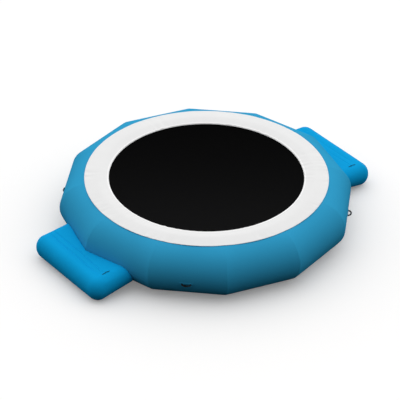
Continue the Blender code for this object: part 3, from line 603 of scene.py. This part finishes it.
def pad_top(angle, share):
    """A low crown with a small inner roll and a thin outer lip, puckered along both edges."""
    opening = pad_opening(angle)
    width = PAD_OUTER - opening
    radius = opening + width * share
    inner, outer = share * width, (1 - share) * width
    crest = FRAME_REACH - opening
    if inner < crest:
        rise = 0.5 * inner / crest + 0.5 * smooth_step(0.0, crest, inner)
        height = PAD_START + (PAD_CREST - PAD_START) * rise
    else:
        fall = max(0.0, inner - crest - FRAME_TUBE / 2) / (width - crest - FRAME_TUBE / 2)
        height = PAD_CREST + (pad_lip(angle)[0] - PAD_CREST) * fall ** PAD_FALL_POWER
    roll = math.sqrt(max(0.0, 1 - (1 - min(inner / PAD_ROLL, 1.0)) ** 2))
    lip = math.sqrt(max(0.0, 1 - (1 - min(outer / LIP_ROUND, 1.0)) ** 2))
    start = pad_under(angle, opening) + ROLL_FOOT
    height = start + (height - start) * roll - LIP_ROUND * (1 - lip)
    edge = min(inner, outer)
    gathered = unevenness(GATHERED_SCALES, math.cos(angle), math.sin(angle), 1)
    pucker = PUCKER_CALM + PUCKER_GATHERED * smooth_step(*GATHERED_RANGE, gathered)
    pucker *= math.exp(-edge / PUCKER_REACH) * smooth_step(0.0, EDGE_HELD, edge)
    pucker *= unevenness(PUCKER_SCALES, angle, share, 1)
    broad = SWELL_HEIGHT * unevenness(SWELL_SCALES, angle, share, 1)
    broad *= smooth_step(0.0, SWELL_HELD, edge)
    panel = (angle + PI / PAD_PANELS) % (2 * PI / PAD_PANELS) - PI / PAD_PANELS
    seam = -PANEL_SEAM_DEPTH * math.exp(-(panel * radius / PANEL_SEAM_WIDTH) ** 2)
    return height + pucker + broad + seam


def eased(step):
    """The share of the pad's width at a step of its top: steps crowd at both edges."""
    return 0.5 - 0.5 * math.cos(PI * step / PAD_TOP_STEPS)


def build_pad():
    verts, uv = [], []
    for index in range(PAD_ANGULAR):
        angle = 2 * PI * index / PAD_ANGULAR
        opening = pad_opening(angle)
        width = PAD_OUTER - opening
        column = []
        for step in range(PAD_TOP_STEPS + 1):
            share = eased(step)
            column.append((opening + width * share, pad_top(angle, share), share))
        column.append((PAD_OUTER - LIP_TUCK, pad_lip(angle)[1], 2.0))
        for share in UNDER_SHARES:
            radius = opening + width * share
            column.append((radius, pad_under(angle, radius), share + 1))
        for radius, height, share in column:
            verts.append(around(radius, angle, height))
            uv.append((angle * UV_RADIUS, share * PAD_WIDTH))
    profile_count = len(verts) // PAD_ANGULAR
    faces = grid_faces(PAD_ANGULAR, profile_count, close_rows=True, close_columns=True)
    pad = closed_object("pad_ring", verts, faces, uv)
    dress(pad, pad_vinyl, highlight_vinyl)
    for index, polygon in enumerate(pad.data.polygons):
        step = (index % profile_count) + 1
        # The inner band takes the paler white: a painted highlight
        if step < PAD_TOP_STEPS and eased(step) < HIGHLIGHT_BAND_SHARE:
            polygon.material_index = 1
    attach(pad, "ring")
    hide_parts("safety_pad")


def build_piping():
    """A thin cord sewn into each edge of the pad; the inner one is in the paler white of the
    painted highlight.
    """
    for word, share, thick, material in (("inner", 0.002, 0.0034, highlight_vinyl),
                                         ("outer", 0.998, 0.0024, pad_vinyl)):
        points = []
        for index in range(PAD_ANGULAR):
            angle = 2 * PI * index / PAD_ANGULAR
            opening = pad_opening(angle)
            radius = opening + (PAD_OUTER - opening) * share
            height = sum(pad_lip(angle)) / 2
            if word == "inner":
                height = pad_under(angle, radius) + PIPING_RISE
            points.append(around(radius, angle, height))
        piping = tube_along(f"pad_piping_{word}", points, thick, sides=8, cyclic=True)
        dress(piping, material)
        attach(piping, "ring")


# Jump mat

MAT_SAG = 0.012
MAT_ANGULAR = 192
MAT_RADIAL = 24


def build_mat():
    """A thin disc that sags a little towards its middle."""
    verts = []
    half = MAT_THICKNESS / 2
    rings = [MAT_RADIUS * step / MAT_RADIAL for step in range(1, MAT_RADIAL + 1)]
    loops = [(radius, 1) for radius in rings] + [(radius, -1) for radius in rings[::-1]]
    for radius, side in loops:
        sag = -MAT_SAG * (1 - (radius / MAT_RADIUS) ** 2)
        for index in range(MAT_ANGULAR):
            angle = 2 * PI * index / MAT_ANGULAR
            verts.append(around(radius, angle, MAT_HEIGHT + sag + side * half))
    faces = grid_faces(len(loops), MAT_ANGULAR, close_columns=True)
    for side, start in ((1, 0), (-1, (len(loops) - 1) * MAT_ANGULAR)):
        centre = len(verts)
        verts.append((0.0, 0.0, MAT_HEIGHT - MAT_SAG + side * half))
        for index in range(MAT_ANGULAR):
            faces.append((centre, start + index, start + (index + 1) % MAT_ANGULAR))
    mat = closed_object("woven_mat", verts, faces, sharp=True)
    dress(mat, mat_mesh)
    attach(mat, "mat")
    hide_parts("jump_mat")


# Springs with their wire rings and hem

SPRING_GROUPS = 6
GROUP_SPRINGS = 8
GROUP_ANGLE = 2 * PI / SPRING_GROUPS
HEM_STEPS = 48
HEM_HALF = 0.0015
HEM_GAP_ANGLE = 0.0012
HEM_INNER = MAT_RADIUS + 0.0004
VEE_ENTRY = 0.008
VEE_ROUND = 0.006
SPRING_WIRE = 0.0016
SPRING_EYE = 0.006
SPRING_HOOK = ((-0.0075, 0.0, -0.0020), (-0.0055, 0.0, 0.0022), (0.000, 0.0, 0.0040),
               (SPRING_EYE, 0.0, 0.0030), (2 * SPRING_EYE, 0.0, 0.0))
COIL_START = 0.020
COIL_END_GAP = 0.022
COIL_TURNS = 18
TURN_STEPS = 10
CORE_SHARE = 0.25
TAIL_SHORT = 0.004
TAIL_IN = 0.009


def build_hem(index):
    """A sixth of the webbing that is sewn round the mat."""
    start = 2 * PI * index / SPRING_GROUPS + HEM_GAP_ANGLE
    verts, uv = [], []
    for step in range(HEM_STEPS + 1):
        angle = start + (GROUP_ANGLE - 2 * HEM_GAP_ANGLE) * step / HEM_STEPS
        for radius, height in ((HEM_INNER, HEM_HALF), (HEM_OUTER, HEM_HALF),
                               (HEM_OUTER, -HEM_HALF), (HEM_INNER, -HEM_HALF)):
            verts.append(around(radius, angle, MAT_HEIGHT + height))
            uv.append((angle * radius, radius))
    faces = capped_faces(HEM_STEPS + 1, 4)
    hem = closed_object(f"hem_webbing_{index + 1}", verts, faces, uv, smooth=False)
    dress(hem, webbing)
    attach(hem, "mat")
    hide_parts(f"spring_set_{index + 1}")


def build_vee_ring(number, angle):
    """A three-cornered wire ring with rounded corners, its tip towards the frame."""
    inner = VEE_TIP - VEE_REACH - VEE_ENTRY
    corners = [(inner, VEE_WIDTH / 2), (inner, -VEE_WIDTH / 2), (VEE_TIP, 0.0)]
    points = []
    for at, corner in enumerate(corners):
        before = Vector(corners[at - 1])
        after = Vector(corners[(at + 1) % 3])
        here = Vector(corner)
        first = here + (before - here).normalized() * VEE_ROUND
        last = here + (after - here).normalized() * VEE_ROUND
        for share in (0.0, 0.25, 0.5, 0.75, 1.0):
            spot = first.lerp(here, share).lerp(here.lerp(last, share), share)
            points.append(turn_z(angle) @ Vector((spot.x, spot.y, MAT_HEIGHT)))
    vee = tube_along(f"vee_ring_{number:02d}", points, VEE_WIRE / 2, sides=8, cyclic=True)
    dress(vee, spring_steel)
    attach(vee, "mat")


def build_spring(number, angle):
    """A coil spring: hook over the wire ring, close coils, straight tail into the frame."""
    slope = math.atan2(FRAME_HEIGHT - MAT_HEIGHT, SPRING_SPAN)
    length = SPRING_SPAN / math.cos(slope)
    place = turn_z(angle) @ Matrix.Translation((VEE_TIP, 0.0, MAT_HEIGHT))
    place = place @ Matrix.Rotation(-slope, 4, "Y")
    mean = SPRING_DIAMETER / 2 - SPRING_WIRE
    start, end = COIL_START, length - COIL_END_GAP
    points = list(SPRING_HOOK)
    for step in range(COIL_TURNS * TURN_STEPS + 1):
        turn = 2 * PI * step / TURN_STEPS
        share = step / (COIL_TURNS * TURN_STEPS)
        grow = min(1.0, share * COIL_TURNS, (1 - share) * COIL_TURNS)
        radius = mean * (CORE_SHARE + (1 - CORE_SHARE) * grow)
        points.append((start + (end - start) * share, radius * math.cos(turn),
                       radius * math.sin(turn)))
    tail = length - TAIL_SHORT
    points += [(end + SPRING_EYE, 0.0, 0.0), (tail, 0.0, 0.0), (length + TAIL_IN, 0.0, 0.0)]
    points = [place @ Vector(point) for point in points]
    spring = tube_along(f"coil_spring_{number:02d}", points, SPRING_WIRE, sides=5)
    dress(spring, spring_steel)
    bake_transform(spring)


def build_spring_group(index):
    build_hem(index)
    for step in range(GROUP_SPRINGS):
        number = index * GROUP_SPRINGS + step + 1
        angle = 2 * PI * index / SPRING_GROUPS + (step + 0.5) * GROUP_ANGLE / GROUP_SPRINGS
        build_vee_ring(number, angle)
        build_spring(number, angle)


# Boarding platforms

HINGE_LENGTHS = {"right": (0, 11), "left": (5, 6)}
PLATFORM_VOXEL = 0.008
PLATFORM_LEVELS = 36
CORNER_STEPS = 14
LEAST_CORNER = 0.004
VALVE_SEAT = 0.045
VALVE_RIM = 0.004
VALVE_DIMPLE = 0.075

# A platform's top, by how far in from its outer edge: where it sags and where it rises again
PLATFORM_SAG = 0.010
RIGHT_SAG_SHARE = 0.4
TOP_RANGE = (0.80, 0.985)
SAG_RANGE = (0.17, 0.29)
RISE_RANGE = (0.37, 0.60)
# Each crease: how far in it runs at places along the platform, its depth, where it fades out
CREASES = (
    (((0.73, 0.283), (0.24, 0.271), (-0.28, 0.261), (-0.62, 0.250)), 0.0125, (-0.72, -0.45)),
    (((0.75, 0.374), (0.40, 0.380), (0.07, 0.392), (-0.24, 0.367), (-0.62, 0.345)), 0.0135,
     (-0.80, -0.62)),
)
CREASE_SPREAD = 0.012
CREASE_ENDS, CREASE_END_SHARE = (0.74, 0.88), 0.8
# Small puckers beside the ring, fine lines between the creases and slow waves all over
EDGE_PUCKER, EDGE_PUCKER_REACH = 0.0024, 0.07
EDGE_PUCKER_SCALES = (7.3, 17.0, 2.0)
LINE_HEIGHT = 0.0010
LINE_SCALES = (34.0, 2.2, 4.1)
LINES_START, LINES_END = (0.24, 0.36), (0.46, 0.60)
PLATFORM_WAVES = ((0.0014, 3.2), (0.0007, 9.0))


def platform_span(inward):
    """The heights of a platform's underside and top at a distance in from its outer edge."""
    beyond = max(0.0, inward - PLATFORM_ROLL)
    return PLATFORM_BOTTOM_SLOPE * beyond, PLATFORM_HEIGHT + PLATFORM_TOP_SLOPE * beyond


def platform_plan(across_inset, along_inset):
    """A platform's outline at one level: four rounded corners, and straight ends in parts."""
    corner = max(PLATFORM_CORNER - (across_inset + along_inset) / 2, LEAST_CORNER)
    half = PLATFORM_HALF - along_inset
    outer = PLATFORM_OUTER - across_inset
    inner = PLATFORM_INNER + across_inset / 2
    centres = [(outer - corner, half - corner), (inner + corner, half - corner),
               (inner + corner, corner - half), (outer - corner, corner - half)]
    points = []
    for quarter, (across, along) in enumerate(centres):
        for step in range(CORNER_STEPS + 1):
            angle = PI / 2 * (quarter + step / CORNER_STEPS)
            points.append((across + corner * math.cos(angle), along + corner * math.sin(angle)))
        if quarter in (0, 2):
            start, end = points[-1], centres[quarter + 1]
            for share in (0.2, 0.4, 0.6, 0.8):
                points.append((start[0] + (end[0] - start[0]) * share, start[1]))
    return points


def apply_modifiers(obj):
    depsgraph = bpy.context.evaluated_depsgraph_get()
    mesh = bpy.data.meshes.new_from_object(obj.evaluated_get(depsgraph))
    obj.modifiers.clear()
    old = obj.data
    obj.data = mesh
    bpy.data.meshes.remove(old)


def smooth_ring_cutter(distance):
    """The ring's space and a gap round it, which the platforms are cut out of."""
    verts = []
    radius = SKIN_RADIUS + distance
    for face in range(RING_LENGTHS):
        turn = turn_z(face * LENGTH_ANGLE)
        for step in range(SECTION_STEPS):
            angle = 2 * PI * step / SECTION_STEPS
            reach = (TUBE_REACH + radius * math.cos(angle)) / math.cos(HALF_LENGTH_ANGLE)
            verts.append(turn @ Vector((reach, 0.0, TUBE_HEIGHT + radius * math.sin(angle))))
    faces = grid_faces(RING_LENGTHS, SECTION_STEPS, close_rows=True, close_columns=True)
    return closed_object("ring_space", verts, faces)


def along_line(points, where):
    """A value read off a list of (place, value) points that runs from high to low places."""
    for (first, start), (last, end) in zip(points, points[1:]):
        if where >= last:
            share = min(1.0, (first - where) / (first - last))
            return start + (end - start) * share
    return points[-1][1]


def ring_distance(place):
    """How far a place lies outside the ring's skin."""
    reach = max(place.x * math.cos(angle) + place.y * math.sin(angle)
                for angle in (HALF_LENGTH_ANGLE + face * LENGTH_ANGLE
                              for pair in HINGE_LENGTHS.values() for face in pair))
    return math.hypot(reach - TUBE_REACH, place.z - TUBE_HEIGHT) - SKIN_RADIUS


def platform_relief(place, side):
    """Creases and small puckers, as a lift of the top and a swell of the skin."""
    inward = PLATFORM_OUTER - side * place.x
    bottom, crown = platform_span(inward)
    top = smooth_step(*TOP_RANGE, (place.z - bottom) / (crown - bottom))
    depth = 1.0 if side < 0 else RIGHT_SAG_SHARE
    lift = PLATFORM_SAG * depth * top * (0.5 * smooth_step(*RISE_RANGE, inward)
                                         - smooth_step(*SAG_RANGE, inward))
    ends = 1 - CREASE_END_SHARE * smooth_step(*CREASE_ENDS, place.y)
    for line, deep, fading in CREASES:
        offset = inward - along_line(line, place.y)
        fade = smooth_step(*fading, place.y) * ends
        lift -= depth * deep * fade * top * math.exp(-(offset / CREASE_SPREAD) ** 2)
    near = math.exp(-max(0.0, ring_distance(place)) / EDGE_PUCKER_REACH)
    pucker = EDGE_PUCKER * near * unevenness(EDGE_PUCKER_SCALES, side, place.y, inward)
    lines = LINE_HEIGHT * unevenness(LINE_SCALES, inward, place.y, side)
    lines *= top * smooth_step(*LINES_START, inward) * (1 - smooth_step(*LINES_END, inward))
    wave = sum(height * noise.noise(place * scale) for height, scale in PLATFORM_WAVES)
    return lift + (pucker + lines) * top, wave


def valve_dimple(place, valve):
    """How far the skin draws in round a platform's valve, which sits lower than the skin."""
    apart = math.hypot(place.x - valve.x, place.z - valve.z)
    return 1 - smooth_step(VALVE_SEAT, VALVE_SEAT + VALVE_DIMPLE, apart)


def plain_platform(word, side):
    """A platform before its creases: levels of its outline, with half-round edges."""
    verts = []
    for index in range(PLATFORM_LEVELS + 1):
        angle = PI * (index / PLATFORM_LEVELS - 0.5)
        inset = 1 - math.cos(angle)
        share = 0.5 + 0.5 * math.sin(angle)
        for across, along in platform_plan(PLATFORM_ROLL * inset, PLATFORM_END_ROLL * inset):
            bottom, top = platform_span(PLATFORM_OUTER - across)
            verts.append((side * across, along, bottom + (top - bottom) * share))
    count = len(verts) // (PLATFORM_LEVELS + 1)
    faces = capped_faces(PLATFORM_LEVELS + 1, count)
    return closed_object(f"platform_cushion_{word}", verts, faces)


def build_platform(side, cutter):
    word = "right" if side > 0 else "left"
    body = plain_platform(word, side)
    boolean = body.modifiers.new("ring", "BOOLEAN")
    boolean.operation = "DIFFERENCE"
    boolean.solver = "EXACT"
    boolean.object = cutter
    remesh = body.modifiers.new("even", "REMESH")
    remesh.mode = "VOXEL"
    remesh.voxel_size = PLATFORM_VOXEL
    ease = body.modifiers.new("ease", "SMOOTH")
    ease.factor = 0.5
    ease.iterations = 5
    apply_modifiers(body)
    mesh = body.data
    low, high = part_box(f"{word}_valve_body")
    valve = (Vector(low) + Vector(high)) / 2
    seat = high[1] - VALVE_RIM
    normals = [vertex.normal.copy() for vertex in mesh.vertices]
    for vertex, normal in zip(mesh.vertices, normals):
        lift, wave = platform_relief(vertex.co, side)
        spot = vertex.co + Vector((0.0, 0.0, lift)) + normal * wave
        if spot.y > seat:
            spot.y += (seat - spot.y) * valve_dimple(spot, valve)
        spot.z = floor_press(spot.z)
        vertex.co = spot
    mesh.shade_smooth()
    mesh.update()
    uv = [(vertex.co.x, vertex.co.y + vertex.co.z) for vertex in mesh.vertices]
    set_uv(body, uv)
    dress(body, platform_skin)
    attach(body, f"platform_{word}_body")
    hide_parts(f"platform_{word}")
    return body


# Hinge flaps

FLAP_LENGTH = 0.58
FLAP_SHARES = (-0.5, -0.25, 0.0, 0.25, 0.5)
FLAP_STEPS = 16
FLAP_UNDER = 0.0006
FLAP_OVER = 0.0030


def build_flaps():
    """Strips round a quarter of the tube, close to its seam, that hold the platforms."""
    from_middle = (HALF_FLATS * math.tan(HALF_LENGTH_ANGLE) - FLAP_LENGTH / 2) / 2
    for word, faces in HINGE_LENGTHS.items():
        for index, face in enumerate(faces):
            shift = (-1 if face in (0, 6) else 1) * from_middle
            turn = turn_z(HALF_LENGTH_ANGLE + face * LENGTH_ANGLE)
            verts, uv = [], []
            for share in FLAP_SHARES:
                along = share * FLAP_LENGTH
                for lift, line in ((FLAP_UNDER, range(FLAP_STEPS + 1)),
                                   (FLAP_OVER, range(FLAP_STEPS, -1, -1))):
                    radius = SKIN_RADIUS + lift
                    for step in line:
                        angle = -FACET_ANGLE * (0.5 + 2 * step / FLAP_STEPS)
                        verts.append(turn @ Vector((
                            TUBE_REACH + radius * math.cos(angle), along + shift,
                            TUBE_HEIGHT + radius * math.sin(angle))))
                        uv.append((along, radius * angle))
            strip = capped_faces(len(FLAP_SHARES), 2 * (FLAP_STEPS + 1))
            flap = closed_object(f"crease_flap_{word}_{index + 1}", verts, strip, uv, sharp=True)
            dress(flap, seam_skin)
            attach(flap, f"platform_{word}_body")
            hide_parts(f"{word}_hinge_flap_{index + 1}")


# Grab handles

HANDLE_HALF = 0.0055
HANDLE_THICKNESS = 0.0022
HANDLE_REACH = 0.077
HANDLE_ARCH = 0.104
HANDLE_RISE = 0.010
HANDLE_GAP = 0.0012
HANDLE_DROP = 0.1
HANDLE_STEPS = 48
# How far each handle lies in from its platform's outer edge and from its near end
HANDLE_PLACES = {"right": (0.334, 0.194), "left": (0.370, 0.203)}


def build_handle(side, cushion):
    """Webbing arched between two feet that lie on the cushion's own skin."""
    word = "right" if side > 0 else "left"
    inward, from_end = HANDLE_PLACES[word]
    across = side * (PLATFORM_OUTER - inward)
    along = from_end - PLATFORM_HALF
    down = Vector((0.0, 0.0, -1.0))
    skin = BVHTree.FromPolygons([vertex.co for vertex in cushion.data.vertices],
                                [polygon.vertices for polygon in cushion.data.polygons])
    verts, uv = [], []
    for step in range(HANDLE_STEPS + 1):
        shift = -HANDLE_REACH + 2 * HANDLE_REACH * step / HANDLE_STEPS
        share = min(1.0, max(0.0, shift / HANDLE_ARCH + 0.5))
        rise = HANDLE_RISE * math.sin(PI * share) ** 0.8 if 0 < share < 1 else 0.0
        for beside, lift in ((-HANDLE_HALF, 0.0), (HANDLE_HALF, 0.0),
                             (HANDLE_HALF, HANDLE_THICKNESS), (-HANDLE_HALF, HANDLE_THICKNESS)):
            above = Vector((across + shift, along + beside, PLATFORM_HEIGHT + HANDLE_DROP))
            ground = skin.ray_cast(above, down)[0]
            verts.append(ground - down * (HANDLE_GAP + rise + lift))
            uv.append((shift, beside))
    faces = capped_faces(HANDLE_STEPS + 1, 4)
    handle = closed_object(f"webbing_handle_{word}", verts, faces, uv, sharp=True)
    dress(handle, webbing)
    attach(handle, f"platform_{word}_body")
    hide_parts(f"{word}_grab_handle")


# Anchor loops

LOOP_LENGTHS = (1, 4, 7, 10)
LOOP_SHIFT = -0.021
LOOP_RISE = 0.015
LOOP_RADIUS = 0.0125
LOOP_HALF = 0.0700
LOOP_ROOT, LOOP_START, LOOP_REACH = 0.0038, 0.010, 0.0475
LOOP_STEPS = 24
PATCH_RADIUS, PATCH_HALF = 0.025, 0.118
PATCH_GAP = 0.0003
PATCH_STEPS = 20
# The patch's shares of its own radius from rim to middle, and how far each stands out
PATCH_RIMS = ((1.0, 0.0006), (1.0, 0.0022), (0.93, 0.0036), (0.80, 0.0040), (0.74, 0.0034),
              (0.68, 0.0042), (0.4, 0.0048))


def build_loops():
    for index, face in enumerate(LOOP_LENGTHS):
        turn = turn_z(HALF_LENGTH_ANGLE + face * LENGTH_ANGLE)
        tilt = -FACET_ANGLE
        reach = TUBE_REACH + SKIN_RADIUS * math.cos(tilt) - LOOP_RISE * math.sin(tilt)
        height = TUBE_HEIGHT + SKIN_RADIUS * math.sin(tilt) + LOOP_RISE * math.cos(tilt)
        points = [(LOOP_ROOT, LOOP_HALF)]
        for step in range(LOOP_STEPS + 1):
            angle = PI * step / LOOP_STEPS
            points.append((LOOP_START + LOOP_REACH * math.sin(angle) ** 0.9,
                           LOOP_HALF * math.cos(angle)))
        points.append((LOOP_ROOT, -LOOP_HALF))
        path = [turn @ Vector((reach + out, LOOP_SHIFT + along, height))
                for out, along in points]
        loop = tube_along(f"tie_loop_{index + 1}", path, LOOP_RADIUS, sides=14)
        dress(loop, rubber)
        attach(loop, "ring")
        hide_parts(f"anchor_loop_{index + 1}")
        build_loop_patch(index, turn, reach, height, tilt)


def build_loop_patch(index, turn, reach, height, tilt):
    """A moulded patch with a rounded rim that hugs the ring."""
    verts = []
    for share, lift in PATCH_RIMS:
        radius = PATCH_RADIUS * share
        for side in (1, -1):
            for step in range(PATCH_STEPS + 1):
                angle = PI * (step / PATCH_STEPS - 0.5)
                along = side * (PATCH_HALF - PATCH_RADIUS + radius * math.cos(angle))
                up = side * radius * math.sin(angle)
                sink = SKIN_RADIUS - math.sqrt(SKIN_RADIUS ** 2 - (up + LOOP_RISE) ** 2)
                out = lift - sink + PATCH_GAP
                verts.append(turn @ Vector((
                    reach + out * math.cos(tilt) - up * math.sin(tilt), LOOP_SHIFT + along,
                    height + out * math.sin(tilt) + up * math.cos(tilt))))
    faces = capped_faces(len(PATCH_RIMS), 2 * (PATCH_STEPS + 1))
    patch = closed_object(f"loop_patch_{index + 1}", verts, faces)
    dress(patch, ring_skin)
    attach(patch, "ring")


# CAD pieces whose shape stays

def finish_cad_pieces():
    looks = {}
    for index in range(6):
        looks[f"frame_section_{index + 1}"] = steel
        looks[f"frame_sleeve_{index + 1}"] = steel
        looks[f"frame_strap_{index + 1}"] = webbing
    for word in ("tube", "left", "right"):
        looks[f"{word}_valve_body"] = valve_plastic
        looks[f"{word}_valve_plunger"] = plunger_plastic
        looks[f"{word}_valve_cap"] = rubber
    for name, material in looks.items():
        dress(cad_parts[name], material)


build_ring()
build_pad()
build_piping()
build_mat()
for section in range(SPRING_GROUPS):
    build_spring_group(section)
ring_space = smooth_ring_cutter(PLATFORM_GAP)
cushions = {side: build_platform(side, ring_space) for side in (1, -1)}
bpy.data.objects.remove(ring_space)
build_flaps()
for side, cushion in cushions.items():
    build_handle(side, cushion)
build_loops()
finish_cad_pieces()


# Floor, light and camera

FLOOR_HALF = 60.0
FLOOR_DROP = 0.0006
FLOOR_BOUNCE = 0.01
FLOOR_GLOW = 0.17
WHITE = (1.0, 1.0, 1.0, 1.0)
FLOOR_WHITE = (1.0, 0.992, 0.987, 1.0)
DIM_SKY = 0.064
BRIGHT_SKY = 1.216
BRIGHT_FROM = 0.32
SKY_TILT = math.radians(71.7)
SKY_TURN = math.radians(47.3)
BRIGHT_TOWARDS = Vector((math.sin(SKY_TILT) * math.cos(SKY_TURN),
                         math.sin(SKY_TILT) * math.sin(SKY_TURN), math.cos(SKY_TILT)))
OVERHEAD_ENERGY = 0.081
OVERHEAD_SPREAD = math.radians(60)


def seen_directly(tree):
    """1 for camera, glossy and transmission rays, which show the white background."""
    path = tree.nodes.new("ShaderNodeLightPath")
    total = path.outputs["Is Camera Ray"]
    for name in ("Is Glossy Ray", "Is Transmission Ray"):
        most = tree.nodes.new("ShaderNodeMath")
        most.operation = "MAXIMUM"
        tree.links.new(total, most.inputs[0])
        tree.links.new(path.outputs[name], most.inputs[1])
        total = most.outputs["Value"]
    return total


def finish_shader(tree, kind, bounced, shown):
    """One shader for light that bounces on, and another for what is seen directly."""
    mix = tree.nodes.new("ShaderNodeMixShader")
    tree.links.new(seen_directly(tree), mix.inputs["Fac"])
    tree.links.new(bounced, mix.inputs[1])
    tree.links.new(shown, mix.inputs[2])
    output = tree.nodes.new(kind)
    tree.links.new(mix.outputs["Shader"], output.inputs["Surface"])


def build_floor():
    corners = [(across * FLOOR_HALF, along * FLOOR_HALF, -FLOOR_DROP)
               for across, along in ((-1, -1), (1, -1), (1, 1), (-1, 1))]
    floor = mesh_object("studio_floor", corners, [(0, 1, 2, 3)], smooth=False)
    material = bpy.data.materials.new("studio_floor")
    material.use_nodes = True
    tree = material.node_tree
    tree.nodes.clear()
    bounce = node(tree, "ShaderNodeBsdfDiffuse", Color=(FLOOR_BOUNCE,) * 3 + (1.0,))
    white = node(tree, "ShaderNodeBsdfDiffuse", Color=FLOOR_WHITE)
    glow = node(tree, "ShaderNodeEmission", Color=WHITE, Strength=1.0)
    shown = node(tree, "ShaderNodeMixShader", Fac=FLOOR_GLOW)
    tree.links.new(white.outputs["BSDF"], shown.inputs[1])
    tree.links.new(glow.outputs["Emission"], shown.inputs[2])
    finish_shader(tree, "ShaderNodeOutputMaterial", bounce.outputs["BSDF"],
                  shown.outputs["Shader"])
    dress(floor, material)


def build_world():
    """A sky that is brighter on the far side, and plain white where it is seen directly."""
    world = bpy.data.worlds.new("studio")
    bpy.context.scene.world = world
    world.use_nodes = True
    tree = world.node_tree
    tree.nodes.clear()
    place = tree.nodes.new("ShaderNodeTexCoord")
    facing = along_direction(tree, place.outputs["Generated"], BRIGHT_TOWARDS)
    level = number_range(tree, facing, (-1.0, BRIGHT_FROM), (DIM_SKY, BRIGHT_SKY), "SMOOTHSTEP")
    fill = node(tree, "ShaderNodeBackground", Color=WHITE)
    tree.links.new(level, fill.inputs["Strength"])
    shown = node(tree, "ShaderNodeBackground", Color=WHITE, Strength=1.0)
    finish_shader(tree, "ShaderNodeOutputWorld", fill.outputs["Background"],
                  shown.outputs["Background"])


def build_light():
    light = bpy.data.lights.new("overhead_softbox", "SUN")
    light.energy = OVERHEAD_ENERGY
    light.angle = OVERHEAD_SPREAD
    lamp = bpy.data.objects.new("overhead_softbox", light)
    bpy.context.scene.collection.objects.link(lamp)
    lamp.matrix_world = Matrix.Translation((0.0, 0.0, 8.0))


def build_camera():
    """The photograph's view, fitted to the ring's corners in a 400 by 400 frame."""
    azimuth, elevation = math.radians(231.934), math.radians(34.735)
    distance = 16.142 * HALF_FLATS
    focal_pixels, frame_pixels, sensor = 2277.8, 400.0, 36.0
    yaw, pitch, roll = (math.radians(turn) for turn in (0.160, 0.643, -0.552))
    place = distance * Vector((math.cos(azimuth) * math.cos(elevation),
                               math.sin(azimuth) * math.cos(elevation), math.sin(elevation)))
    forward = -place.normalized()
    right = forward.cross(Vector((0.0, 0.0, 1.0))).normalized()
    up = right.cross(forward)
    turn = Matrix.Rotation(yaw, 3, up)
    forward, right = turn @ forward, turn @ right
    turn = Matrix.Rotation(pitch, 3, right)
    forward, up = turn @ forward, turn @ up
    turn = Matrix.Rotation(roll, 3, forward)
    right, up = turn @ right, turn @ up
    place.z -= 0.053 * HALF_FLATS
    data = bpy.data.cameras.new("photo_camera")
    data.sensor_width = sensor
    data.lens = focal_pixels * sensor / frame_pixels
    data.clip_end = 200.0
    camera = bpy.data.objects.new("photo_camera", data)
    bpy.context.scene.collection.objects.link(camera)
    matrix = Matrix((right, up, -forward)).transposed().to_4x4()
    matrix.translation = place
    camera.matrix_world = matrix
    bpy.context.scene.camera = camera


build_floor()
build_world()
build_light()
build_camera()
bpy.context.scene.view_settings.view_transform = "Standard"

bpy.context.view_layer.update()
